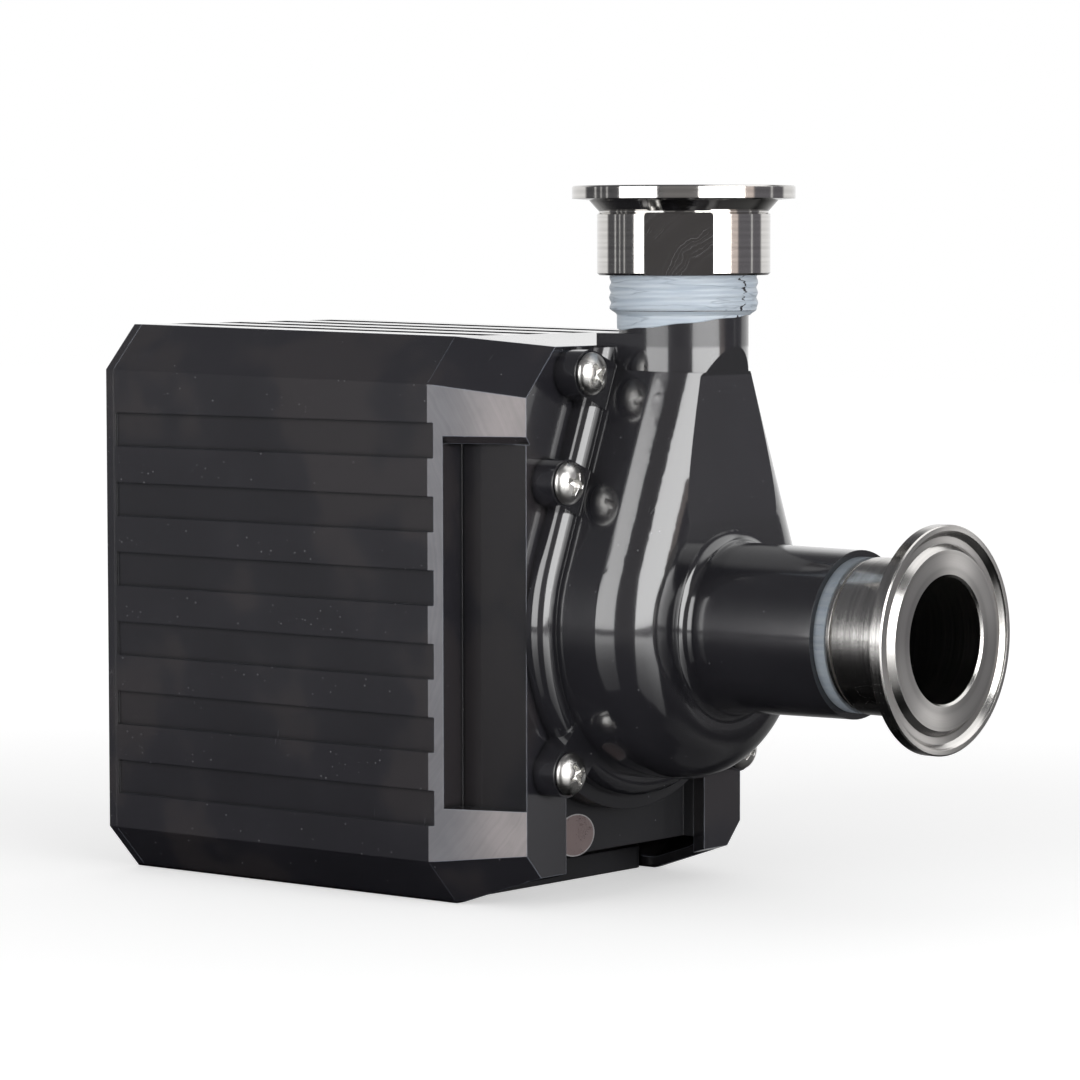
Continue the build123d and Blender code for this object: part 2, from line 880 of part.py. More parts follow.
def make_front_thrust_ring():
    return ring(spindle_radius + 1.8, spindle_radius + 0.1, -holder_back + thrust_thickness, -holder_back)


def make_rear_thrust_washer():
    back = capsule_back + thrust_thickness + 0.2
    return ring(bush_radius - 0.3, spindle_radius + 0.1, back, back - thrust_thickness)


def make_mouth_ring():
    inner = eye_radius + eye_wall + mouth_ring_clearance
    return ring(inner + mouth_ring_wall, inner, -chamber_depth + 1.0, -chamber_depth - 2.0)


def vane(angle):
    """Outline of a backward-curved impeller vane, from the hub to the rim."""
    sweep = radians(vane_sweep)
    start = (bush_radius, 0)
    end = (impeller_radius * cos(sweep), -impeller_radius * sin(sweep))
    chord = hypot(end[0] - start[0], end[1] - start[1])
    spine = RadiusArc(start, end, -vane_curve * chord)
    return Rot(0, 0, angle) * trace(spine, vane_thickness)


def make_impeller():
    back_front = -impeller_back - shroud_thickness
    vane_front = back_front - vane_height
    shroud_front = vane_front - shroud_thickness
    wheel = ring(impeller_radius, bush_radius - 2.0, -impeller_back, back_front)
    wheel += ring(bush_radius + 1.0, spindle_radius + 0.5, capsule_front, back_front)
    wheel += ring(impeller_radius, eye_radius, vane_front, shroud_front)
    wheel += ring(eye_radius + eye_wall, eye_radius, shroud_front + 0.5, shroud_front - eye_length)
    nose = turned([
        (spindle_radius + 0.5, capsule_front),
        (bush_radius + 1.0, capsule_front),
        (bush_radius + 1.0, back_front),
        (spindle_radius + 1.7, -holder_back + thrust_thickness + 0.4),
        (spindle_radius + 0.5, -holder_back + thrust_thickness + 0.4),
    ])
    wheel += nose
    rim = rod(impeller_radius, back_front, vane_front)
    for index in range(vane_count):
        blade = slab(vane(360 * index / vane_count), back_front, vane_front)
        wheel += blade & rim
    return wheel


def make_driven_magnet_capsule():
    body = ring(capsule_radius, bush_radius, capsule_back, capsule_front)
    cavity_front = capsule_front + 2 * capsule_wall
    cavity = ring(capsule_radius - capsule_wall, bush_radius + 2 * capsule_wall, capsule_back - capsule_wall, cavity_front)
    return body - cavity


def make_driven_magnets():
    front = capsule_front + 2 * capsule_wall
    return ring(capsule_radius - capsule_wall, bush_radius + 2 * capsule_wall, capsule_back - capsule_wall, front)


def make_impeller_bush():
    front = capsule_front
    return ring(bush_radius, spindle_radius + spindle_fit, capsule_back, front)


def make_drive_magnet_cup():
    profile = [
        (magnet_radius, cup_front),
        (cup_radius, cup_front),
        (cup_radius, cup_back),
        (cup_hub_radius, cup_back),
        (cup_hub_radius, cup_back + cup_hub_length),
        (shaft_radius, cup_back + cup_hub_length),
        (shaft_radius, cup_back - cup_floor),
        (magnet_radius, cup_back - cup_floor),
    ]
    cup = turned(profile)
    hole_y = cup_back + cup_hub_length / 2
    hole_align = (Align.CENTER, Align.CENTER, Align.MIN)
    hole = Cylinder(set_screw_radius + set_screw_fit, 2 * cup_hub_radius, align=hole_align)
    hole = Pos(0, hole_y, axis_height) * hole
    return cup - hole


def make_coupling_set_screw():
    hole_y = cup_back + cup_hub_length / 2
    length = cup_hub_radius - shaft_radius - 0.6
    screw = Cylinder(set_screw_radius, length, align=(Align.CENTER, Align.CENTER, Align.MIN))
    socket = extrude(RegularPolygon(set_screw_socket_radius, 6), amount=2 * set_screw_socket_depth)
    socket = Pos(0, 0, length - set_screw_socket_depth) * socket
    return Pos(0, hole_y, axis_height + shaft_radius + 0.1) * (screw - socket)


def make_drive_magnets():
    magnets = []
    sweep = 360 / magnet_count - magnet_gap_angle
    whole = Circle(magnet_radius) - Circle(magnet_bore)
    for index in range(magnet_count):
        angle = 360 * index / magnet_count
        reach = 2 * magnet_radius
        wedge = Polygon(
            (0, 0),
            (reach * cos(radians(sweep / 2)), -reach * sin(radians(sweep / 2))),
            (reach * cos(radians(sweep / 2)), reach * sin(radians(sweep / 2))),
            align=None,
        )
        segment = whole & (Rot(0, 0, angle) * wedge)
        magnets.append(slab(segment, cup_back - cup_floor - magnet_end_gap, cup_front + magnet_end_gap))
    return Compound(children=magnets)


def make_motor_shaft():
    shaft = rod(shaft_radius, shaft_back, shaft_front)
    return chamfer(shaft.edges().filter_by(GeomType.CIRCLE), 0.5)


def make_rotor_core():
    core = ring(rotor_radius, shaft_radius, stator_front + stator_length, stator_front)
    end_ring = ring(rotor_radius - 1.5, rotor_radius - 7.0, stator_front + stator_length + 4.0, stator_front - 4.0)
    return core + end_ring


def make_stator_core():
    core = ring(stator_radius, stator_bore, stator_front + stator_length, stator_front)
    for x, height in through_bolt_places():
        core -= rod(through_bolt_radius + 0.1, stator_front + stator_length, stator_front, x, height)
    return core


def make_stator_windings():
    stator_back = stator_front + stator_length
    front = ring(winding_radius, winding_bore, stator_front, stator_front - winding_length)
    back = ring(winding_radius, winding_bore, stator_back + winding_length, stator_back)
    corner = min(winding_corner, 0.4 * (winding_radius - winding_bore))
    front = fillet(front.edges().group_by(Axis.Y)[0], corner)
    back = fillet(back.edges().group_by(Axis.Y)[-1], corner)
    return Compound(children=[front, back])


def rear_bell_back():
    return stator_front + stator_length + winding_length + bell_end_gap


def make_rear_end_bell():
    stator_back = stator_front + stator_length
    back = rear_bell_back()
    disc = ring(bell_radius, bearing_radius, back, back - bell_thickness + 0.5)
    tube = ring(bell_radius, bell_bore, back, stator_back - 2.0)
    tube -= ring(stator_radius + 0.05, bell_bore - 1.0, stator_back, stator_back - 2.0)
    hub = ring(bearing_hub_radius, bearing_radius, back, back - bearing_width)
    lip = ring(bearing_radius + 1.0, bearing_radius - 2.0, back + 1.2, back)
    bell = disc + tube + hub + lip
    for x, height in through_bolt_places():
        bell -= rod(through_bolt_radius + 0.1, back, stator_back - 2.0, x, height)
    return bell


def make_through_bolts():
    back = rear_bell_back()
    bolts = []
    for x, height in through_bolt_places():
        shank = rod(through_bolt_radius, back, bell_front + bell_thickness, x, height)
        head = slab(Pos(x, height) * RegularPolygon(bolt_head_radius, 6), back + 2.6, back)
        bolts.append(shank + head)
    return Compound(children=bolts)


def bearing_ring(outer, inner, y_front):
    return ring(outer, inner, y_front + bearing_width, y_front)


def make_bearing_outer(y_front):
    return bearing_ring(bearing_radius, bearing_split_outer, y_front)


def make_bearing_inner(y_front):
    inner = bearing_ring(bearing_split_inner, shaft_radius, y_front)
    cage = ring(bearing_split_outer - 0.08, bearing_split_inner - 0.5, y_front + bearing_width - 0.8, y_front + 0.8)
    return inner + cage


def rear_bearing_front():
    return rear_bell_back() - bearing_width


def make_cooling_fan():
    hub = ring(fan_hub_radius, shaft_radius, fan_front + fan_width, fan_front)
    plate = ring(fan_radius, fan_hub_radius - 1.0, fan_front + 1.6, fan_front)
    fan = hub + plate
    blade = slab(
        Pos((fan_radius + fan_hub_radius) / 2, 0) * Rectangle(fan_radius - fan_hub_radius + 1.0, 1.6),
        fan_front + fan_width,
        fan_front + 1.0,
    )
    for index in range(fan_blade_count):
        angle = 360 * index / fan_blade_count
        fan += pump_axis * Rot(0, angle, 0) * (pump_axis.inverse() * blade)
    return fan


def make_run_capacitor():
    can = capacitor_bar(capacitor_radius, capacitor_front + capacitor_length, capacitor_front)
    can = fillet(can.edges().filter_by(GeomType.CIRCLE), 1.0)
    return can


def make_terminal_block():
    outer_x = base_half_width - terminal_side_inset
    back = cover_length - terminal_back_gap
    top = base_thickness + terminal_height
    body = box(outer_x - terminal_width, outer_x, back - terminal_length, back, base_thickness, top)
    for index in (-1, 0, 1):
        y = back - terminal_length / 2 + index * terminal_hole_pitch
        body -= Pos(outer_x - terminal_width / 2, y, top) * Cylinder(terminal_hole_radius, terminal_height)
    return body


def make_pump_screws():
    screws = []
    for x, height in ear_screws:
        for side in (-1, 1):
            seat = -ear_thickness
            head = rod(screw_head_radius, seat, seat - screw_head_height, side * x, height)
            head = fillet(head.edges().group_by(Axis.Y)[0], screw_head_height * 0.8)
            cross = Rectangle(screw_recess_length, screw_recess_width)
            cross += Rectangle(screw_recess_width, screw_recess_length)
            front = seat - screw_head_height
            cut = slab(Pos(side * x, height) * cross, front + screw_recess_depth, front - 0.5)
            shank = rod(screw_radius, seat + screw_reach, seat, side * x, height)
            screws.append(head - cut + shank)
    return Compound(children=screws)


def ferrule_face(face, sign, body_radius):
    """Profile points of a clamp ferrule from its sealing face to the end of its back bevel."""
    inner = ferrule_groove_radius - ferrule_groove_width / 2
    outer = ferrule_groove_radius + ferrule_groove_width / 2
    deep = face - sign * ferrule_groove_depth
    rim_back = face - sign * ferrule_rim
    return [
        (ferrule_bore + 0.5, face),
        (inner - 0.4, face),
        (inner, face - sign * 0.4),
        (inner + 0.9, deep),
        (outer - 0.9, deep),
        (outer, face - sign * 0.4),
        (outer + 0.3, face),
        (ferrule_radius - 0.3, face),
        (ferrule_radius, face - sign * 0.3),
        (ferrule_radius, rim_back),
        (ferrule_bevel_radius, rim_back - sign * 0.35),
        (ferrule_root_radius, rim_back - sign * 0.65 * ferrule_bevel_length),
        (min(ferrule_root_radius, body_radius) - 0.4, rim_back - sign * ferrule_bevel_length),
    ]


def make_outlet_ferrule():
    body_bottom = outlet_face - ferrule_rim - ferrule_bevel_length - 0.4 - outlet_body_length
    thread_top = neck_top + 1.5
    profile = ferrule_face(outlet_face, 1, outlet_body_radius)
    profile += [
        (outlet_body_radius - 0.4, body_bottom + outlet_body_length + 0.1),
        (outlet_body_radius, body_bottom + outlet_body_length - 0.3),
        (outlet_body_radius, body_bottom + 0.5),
        (outlet_body_radius - 0.5, body_bottom),
        (thread_radius, body_bottom),
        (thread_radius, thread_top),
        (ferrule_bore, thread_top + 1.5),
        (ferrule_bore, outlet_face - 0.5),
    ]
    ferrule = turned_upright(profile)
    half_chord = sqrt(outlet_body_radius ** 2 - outlet_flat ** 2)
    cutter = Box(2 * half_chord, 10, outlet_body_length, align=(Align.CENTER, Align.MAX, Align.MIN))
    cutter = fillet(cutter.edges().filter_by(Axis.Y), outlet_flat_corner)
    cutter = Pos(0, -outlet_flat, body_bottom) * cutter
    for side in (0, 180):
        angle = outlet_flat_angle + side
        ferrule -= Pos(0, -neck_offset, axis_height) * Rot(0, 0, angle) * cutter
    return ferrule


def outlet_tape_top():
    return outlet_face - ferrule_rim - ferrule_bevel_length - 0.4 - outlet_body_length


def make_outlet_thread_tape():
    top = outlet_tape_top()
    neck_outer = neck_radius + tape_thickness
    ridge = thread_radius + tape_thickness
    profile = [(thread_radius, top), (ridge, top)]
    ridges = 3
    for index in range(ridges):
        low = top - (index + 1) * tape_ridge_pitch
        profile.append((ridge - 0.1, low + 0.75 * tape_ridge_pitch))
        profile.append((ridge + 0.25, low + 0.5 * tape_ridge_pitch))
        profile.append((ridge - 0.1, low + 0.2 * tape_ridge_pitch))
    step = thread_bottom()
    profile += [
        (ridge - 0.2, step),
        (neck_outer + 0.2, step - 1.2),
        (neck_outer, top - tape_tail),
        (neck_radius, top - tape_tail),
        (neck_radius, step),
        (thread_radius, step),
    ]
    tape = turned_upright(profile)
    keep = Box(4 * ridge, 4 * ridge, 3 * tape_tail, align=(Align.CENTER, Align.CENTER, Align.MIN))
    edge_height = top - tape_tail + 1.7
    keep = Pos(0, -neck_offset, axis_height + edge_height) * Rot(0, 0, -51) * Rot(0, -tape_slope, 0) * keep
    return tape & keep


def make_inlet_ferrule():
    profile = ferrule_face(-inlet_face, -1, inlet_body_radius)
    groove_back = -inlet_shoulder + inlet_groove_width
    collar_back = groove_back + inlet_collar_width
    profile += [
        (inlet_body_radius, -inlet_face + ferrule_rim + ferrule_bevel_length + 0.4),
        (inlet_body_radius, -inlet_shoulder),
        (inlet_collar_radius - 0.6, -inlet_shoulder),
        (inlet_collar_radius - 0.6, groove_back),
        (inlet_collar_radius, groove_back),
        (inlet_collar_radius, collar_back),
        (thread_radius, collar_back),
        (thread_radius, -nozzle_end + thread_length - 1.0),
        (ferrule_bore, -nozzle_end + thread_length - 1.0),
        (ferrule_bore, -inlet_face + 0.5),
    ]
    return turned(profile)


def make_inlet_thread_tape():
    collar_back = -inlet_shoulder + inlet_groove_width + inlet_collar_width
    return ring(inlet_collar_radius + tape_thickness, thread_radius, -nozzle_end, collar_back)


parts = {
    "motor_cover": make_motor_cover(),
    "rear_panel": make_rear_panel(),
    "rear_panel_screws": make_rear_panel_screws(),
    "cable_bushing": make_cable_bushing(),
    "base_plate": make_base_plate(),
    "bracket_screws": make_bracket_screws(),
    "motor_bracket": make_motor_bracket(),
    "inspection_label": make_inspection_label(),
    "front_casing": make_front_casing(),
    "pump_screws": make_pump_screws(),
    "casing_o_ring": make_casing_o_ring(),
    "rear_casing": make_rear_casing(),
    "pump_spindle": make_pump_spindle(),
    "front_thrust_ring": make_front_thrust_ring(),
    "rear_thrust_washer": make_rear_thrust_washer(),
    "mouth_ring": make_mouth_ring(),
    "impeller": make_impeller(),
    "driven_magnet_capsule": make_driven_magnet_capsule(),
    "driven_magnets": make_driven_magnets(),
    "impeller_bush": make_impeller_bush(),
    "drive_magnet_cup": make_drive_magnet_cup(),
    "drive_magnets": make_drive_magnets(),
    "coupling_set_screw": make_coupling_set_screw(),
    "motor_shaft": make_motor_shaft(),
    "rotor_core": make_rotor_core(),
    "stator_core": make_stator_core(),
    "stator_windings": make_stator_windings(),
    "rear_end_bell": make_rear_end_bell(),
    "through_bolts": make_through_bolts(),
    "front_bearing_outer": make_bearing_outer(bell_front),
    "front_bearing_inner": make_bearing_inner(bell_front),
    "rear_bearing_outer": make_bearing_outer(rear_bearing_front()),
    "rear_bearing_inner": make_bearing_inner(rear_bearing_front()),
    "cooling_fan": make_cooling_fan(),
    "run_capacitor": make_run_capacitor(),
    "terminal_block": make_terminal_block(),
    "outlet_ferrule": make_outlet_ferrule(),
    "outlet_thread_tape": make_outlet_thread_tape(),
    "inlet_ferrule": make_inlet_ferrule(),
    "inlet_thread_tape": make_inlet_thread_tape(),
}

os.makedirs("parts", exist_ok=True)
for name, shape in parts.items():
    export_step(Pos(0, axis_shift_y, 0) * shape, f"parts/{name}.step")
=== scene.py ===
import json
from math import cos, pi, radians, sin

import bmesh
import bpy
from mathutils import Matrix, Vector


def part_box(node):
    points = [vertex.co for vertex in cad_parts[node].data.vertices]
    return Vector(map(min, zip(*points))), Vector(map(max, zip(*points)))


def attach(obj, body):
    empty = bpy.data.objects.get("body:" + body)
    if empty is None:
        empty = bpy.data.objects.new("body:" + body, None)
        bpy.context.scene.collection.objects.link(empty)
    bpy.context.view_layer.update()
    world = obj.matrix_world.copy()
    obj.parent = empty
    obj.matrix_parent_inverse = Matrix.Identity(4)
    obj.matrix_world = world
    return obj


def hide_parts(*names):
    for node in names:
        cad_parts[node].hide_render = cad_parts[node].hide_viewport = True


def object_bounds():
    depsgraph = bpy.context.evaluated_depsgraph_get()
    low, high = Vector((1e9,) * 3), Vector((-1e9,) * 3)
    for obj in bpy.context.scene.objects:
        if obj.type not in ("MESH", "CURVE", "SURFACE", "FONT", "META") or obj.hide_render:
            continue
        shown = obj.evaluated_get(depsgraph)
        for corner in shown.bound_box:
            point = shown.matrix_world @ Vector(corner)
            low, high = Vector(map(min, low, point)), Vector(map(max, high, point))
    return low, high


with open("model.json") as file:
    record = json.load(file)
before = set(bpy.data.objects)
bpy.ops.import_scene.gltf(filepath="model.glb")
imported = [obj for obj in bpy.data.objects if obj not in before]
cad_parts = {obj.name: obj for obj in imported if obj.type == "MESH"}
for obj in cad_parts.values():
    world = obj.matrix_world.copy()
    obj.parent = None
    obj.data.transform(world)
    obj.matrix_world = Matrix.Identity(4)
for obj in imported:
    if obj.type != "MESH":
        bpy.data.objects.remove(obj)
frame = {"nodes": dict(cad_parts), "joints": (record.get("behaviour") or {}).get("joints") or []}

# Looks of the magnetic drive pump. All lengths are in metres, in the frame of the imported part:
# the pump axis runs along Y, the inlet looks towards -Y and the outlet points up.

cad_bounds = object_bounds()
scene = bpy.context.scene
nodes = frame["nodes"]

pump_axis = Vector(next(joint for joint in frame["joints"] if joint["name"] == "rotor_spin")["pos_m"])
ferrule_low, ferrule_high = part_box("outlet_ferrule")
outlet_axis = Vector(((ferrule_low.x + ferrule_high.x) / 2, (ferrule_low.y + ferrule_high.y) / 2, 0))

# The photograph's camera
camera_place = (-0.811712, -0.701138, 0.151711)
camera_azimuth = -50.945
camera_elevation = 3.914
camera_roll = -0.106
camera_lens = 149.976

# The studio. Directions are angles from -X towards -Y, around the pump.
studio_light = 0.42
room_level = 0.11
room_right_level = 0.17
room_right_angle = 138.0
room_right_half_width = 24.0
room_front_level = 0.24
room_front_angle = 36.0
room_front_half_width = 22.0
backdrop_angle = 219.0
backdrop_half_width = 57.0
warm_edge_angle = 107.5
warm_edge_half_width = 6.5
warm_edge_colour = (0.85, 0.74, 0.69, 1.0)
room_lines = [(-48.5, 0.9), (-57.0, 0.7), (-66.0, 1.3), (140.0, 1.5)]
room_line_level = 0.75
overhead_angle = 141.0
overhead_elevation = 50.0
overhead_half_width = 26.0
overhead_softness = 6.0
overhead_level = 1.6
lamp_distance = 1.2
card_distance = 1.1
left_lamp_angle = -7.0
left_lamp_width = 0.92
right_lamp_angle = 78.0
right_lamp_width = 1.02
lamp_height = 0.55
lamp_middle_height = 0.26
left_lamp_radiance = 4.6
right_lamp_radiance = 5.0
card_foot = 0.036
left_card_top = 0.95
right_card_top = 0.78
left_card_width = 0.84
right_card_width = 0.93
left_card_radiance = 3.7
right_card_radiance = 5.6
floor_size = 6.0
floor_gap = 0.0002
floor_albedo = 0.8
floor_glass_ior = 1.45
floor_mirror_roughness = 0.06
table_level_near = 0.0
table_level_far = 0.06
table_fade_start = 0.2
table_fade_end = 0.6
floor_lift_near = 0.5
floor_lift_far = 0.7
floor_fade_start = 0.12
floor_fade_end = 0.55

# Pan head screws with a cross recess
screw_head_radius = 0.00485
screw_head_height = 0.0030
screw_edge_height = 0.0007
screw_edge_round = 0.0004
screw_cross_reach = 0.0026
screw_cross_half_width = 0.0005
screw_cross_flare = 0.00045
screw_cross_depth = 0.0021
screw_cross_wall = 0.0001
screw_shank_radius = 0.0023
screw_thread_height = 0.00022
screw_thread_pitch = 0.0009
screw_turns = (35.0, 28.0, 71.0, 48.0, 24.0, 57.0)

# Thread tape on the outlet
tape_pitch = 0.00231
tape_ridge = 0.00036
tape_neck_radius = 0.01508
tape_thread_radius = 0.01645
tape_step_height = 0.1338
tape_edge_height = 0.13135
tape_edge_slope = 0.11
tape_split_angle = -88.5

# Places on the parts where the finish changes, and where painted shade and painted highlights start and end
wrench_flat_angle = 34.6
wrench_flat_reach = 0.0199
wrench_flat_level = 0.9985
facet_pale_start = 0.019
facet_pale_end = 0.004
recess_floor_inset = 0.006
groove_floor_inset = 0.0002
side_wall_inset = 0.0004
neck_satin_height = 0.0625
nozzle_satin_reach = 0.0335
foil_rim_start = 0.93
foil_rim_end = 0.96

dust_colour = (0.5, 0.5, 0.52, 1.0)
remap_sockets = ("Value", "From Min", "From Max", "To Min", "To Max")


def add_node(tree, kind, **settings):
    node = tree.nodes.new(kind)
    for name, value in settings.items():
        setattr(node, name, value)
    return node


def feed(tree, value, socket):
    """Link an output to a socket, or set the socket to a plain value."""
    if isinstance(value, bpy.types.NodeSocket):
        tree.links.new(value, socket)
    else:
        socket.default_value = value


def calculate(tree, operation, first, second=0.0, third=0.0):
    node = add_node(tree, "ShaderNodeMath", operation=operation)
    for value, socket in zip((first, second, third), node.inputs):
        feed(tree, value, socket)
    return node.outputs["Value"]


def combine_vectors(tree, operation, first, second=(0.0, 0.0, 0.0)):
    node = add_node(tree, "ShaderNodeVectorMath", operation=operation)
    feed(tree, first, node.inputs[0])
    feed(tree, second, node.inputs[1])
    plain = operation in ("DOT_PRODUCT", "LENGTH")
    return node.outputs["Value"] if plain else node.outputs["Vector"]


def remap(tree, value, low, high, start=0.0, end=1.0, smooth=True):
    node = add_node(tree, "ShaderNodeMapRange", interpolation_type="SMOOTHSTEP" if smooth else "LINEAR")
    for entry, name in zip((value, low, high, start, end), remap_sockets):
        feed(tree, entry, node.inputs[name])
    return node.outputs["Result"]


def blend_colours(tree, share, first, second):
    node = add_node(tree, "ShaderNodeMix", data_type="RGBA")
    feed(tree, share, node.inputs["Factor"])
    feed(tree, first, node.inputs["A"])
    feed(tree, second, node.inputs["B"])
    return node.outputs["Result"]


def blend_values(tree, share, first, second):
    node = add_node(tree, "ShaderNodeMix", data_type="FLOAT")
    feed(tree, share, node.inputs["Factor"])
    feed(tree, first, node.inputs["A"])
    feed(tree, second, node.inputs["B"])
    return node.outputs["Result"]


def new_effect(name, inputs, outputs):
    """An empty shader node group with its named sockets, and its input and output nodes."""
    group = bpy.data.node_groups.new(name, "ShaderNodeTree")
    for label, kind, value in inputs:
        socket = group.interface.new_socket(label, in_out="INPUT", socket_type=kind)
        socket.default_value = value
    for label, kind in outputs:
        group.interface.new_socket(label, in_out="OUTPUT", socket_type=kind)
    entry = add_node(group, "NodeGroupInput")
    leave = add_node(group, "NodeGroupOutput")
    return group, entry.outputs, leave.inputs


def object_place(tree):
    return add_node(tree, "ShaderNodeTexCoord").outputs["Object"]


def make_dust_specks():
    """Pale specks of dust: small dots that lie in patches, some of them larger."""
    group, entry, leave = new_effect(
        "Dust specks",
        [
            ("Spacing", "NodeSocketFloat", 0.0015),
            ("Amount", "NodeSocketFloat", 0.1),
            ("Size", "NodeSocketFloat", 0.12),
        ],
        [("Specks", "NodeSocketFloat")],
    )
    frequency = calculate(group, "DIVIDE", 1.0, entry["Spacing"])
    place = combine_vectors(group, "SCALE", object_place(group))
    group.links.new(frequency, place.node.inputs["Scale"])
    cells = add_node(group, "ShaderNodeTexVoronoi", feature="F1")
    cells.inputs["Scale"].default_value = 1.0
    group.links.new(place, cells.inputs["Vector"])
    chance = add_node(group, "ShaderNodeSeparateColor")
    group.links.new(cells.outputs["Color"], chance.inputs["Color"])
    drift = add_node(group, "ShaderNodeTexNoise")
    drift.inputs["Scale"].default_value = 45.0
    drift.inputs["Detail"].default_value = 2.0
    group.links.new(object_place(group), drift.inputs["Vector"])
    settled = remap(group, drift.outputs["Fac"], 0.35, 0.75, 0.15, 2.2)
    share = calculate(group, "MULTIPLY", entry["Amount"], settled)
    chosen = calculate(group, "LESS_THAN", chance.outputs["Red"], share)
    reach = calculate(group, "MULTIPLY", entry["Size"], calculate(group, "ADD", chance.outputs["Green"], 0.4))
    near = calculate(group, "LESS_THAN", cells.outputs["Distance"], reach)
    group.links.new(calculate(group, "MULTIPLY", chosen, near), leave["Specks"])
    return group


def make_fine_scratches():
    """Hairline scratches that break up along their length."""
    group, entry, leave = new_effect(
        "Fine scratches",
        [
            ("Stretch", "NodeSocketVector", (60.0, 400.0, 60.0)),
            ("Width", "NodeSocketFloat", 0.012),
            ("Amount", "NodeSocketFloat", 0.5),
        ],
        [("Scratches", "NodeSocketFloat")],
    )
    place = object_place(group)
    bend = add_node(group, "ShaderNodeTexNoise")
    bend.inputs["Scale"].default_value = 25.0
    group.links.new(place, bend.inputs["Vector"])
    stretched = combine_vectors(group, "MULTIPLY", place, entry["Stretch"])
    moved = combine_vectors(group, "ADD", stretched, bend.outputs["Color"])
    lines = add_node(group, "ShaderNodeTexVoronoi", feature="DISTANCE_TO_EDGE")
    lines.inputs["Scale"].default_value = 1.0
    group.links.new(moved, lines.inputs["Vector"])
    thin = calculate(group, "LESS_THAN", lines.outputs["Distance"], entry["Width"])
    patches = add_node(group, "ShaderNodeTexNoise")
    patches.inputs["Scale"].default_value = 70.0
    group.links.new(place, patches.inputs["Vector"])
    limit = calculate(group, "SUBTRACT", 1.0, entry["Amount"])
    kept = calculate(group, "GREATER_THAN", patches.outputs["Fac"], limit)
    group.links.new(calculate(group, "MULTIPLY", thin, kept), leave["Scratches"])
    return group


def make_moulded_grain():
    """Slow waves and a fine grain of a moulded plastic skin, and its patchy sheen."""
    group, entry, leave = new_effect(
        "Moulded grain",
        [
            ("Grain scale", "NodeSocketFloat", 2500.0),
            ("Wave scale", "NodeSocketFloat", 120.0),
            ("Wave share", "NodeSocketFloat", 0.5),
        ],
        [("Height", "NodeSocketFloat"), ("Sheen", "NodeSocketFloat")],
    )
    place = object_place(group)
    grain = add_node(group, "ShaderNodeTexNoise")
    group.links.new(place, grain.inputs["Vector"])
    group.links.new(entry["Grain scale"], grain.inputs["Scale"])
    grain.inputs["Detail"].default_value = 3.0
    waves = add_node(group, "ShaderNodeTexNoise")
    group.links.new(place, waves.inputs["Vector"])
    group.links.new(entry["Wave scale"], waves.inputs["Scale"])
    height = blend_values(group, entry["Wave share"], grain.outputs["Fac"], waves.outputs["Fac"])
    patches = add_node(group, "ShaderNodeTexNoise")
    patches.inputs["Scale"].default_value = 28.0
    patches.inputs["Detail"].default_value = 4.0
    group.links.new(place, patches.inputs["Vector"])
    group.links.new(height, leave["Height"])
    group.links.new(remap(group, patches.outputs["Fac"], 0.35, 0.65), leave["Sheen"])
    return group


def make_turned_rings():
    """Fine rings that a lathe leaves around an axis, from the radius and the place along it."""
    group, entry, leave = new_effect(
        "Turned rings",
        [
            ("Centre", "NodeSocketVector", (0.0, 0.0, 0.0)),
            ("Axis", "NodeSocketVector", (0.0, 0.0, 1.0)),
            ("Frequency", "NodeSocketFloat", 6000.0),
        ],
        [("Rings", "NodeSocketFloat"), ("Streaks", "NodeSocketFloat")],
    )
    from_centre = combine_vectors(group, "SUBTRACT", object_place(group), entry["Centre"])
    along = combine_vectors(group, "DOT_PRODUCT", from_centre, entry["Axis"])
    across = combine_vectors(group, "CROSS_PRODUCT", from_centre, entry["Axis"])
    radius = combine_vectors(group, "LENGTH", across)
    spread = add_node(group, "ShaderNodeCombineXYZ")
    group.links.new(calculate(group, "MULTIPLY", radius, entry["Frequency"]), spread.inputs["X"])
    group.links.new(calculate(group, "MULTIPLY", along, entry["Frequency"]), spread.inputs["Y"])
    rings = add_node(group, "ShaderNodeTexNoise")
    rings.inputs["Scale"].default_value = 1.0
    rings.inputs["Detail"].default_value = 4.0
    group.links.new(spread.outputs["Vector"], rings.inputs["Vector"])
    broad = combine_vectors(group, "SCALE", spread.outputs["Vector"])
    broad.node.inputs["Scale"].default_value = 0.12
    streaks = add_node(group, "ShaderNodeTexNoise")
    streaks.inputs["Scale"].default_value = 1.0
    group.links.new(broad, streaks.inputs["Vector"])
    group.links.new(rings.outputs["Fac"], leave["Rings"])
    group.links.new(streaks.outputs["Fac"], leave["Streaks"])
    return group


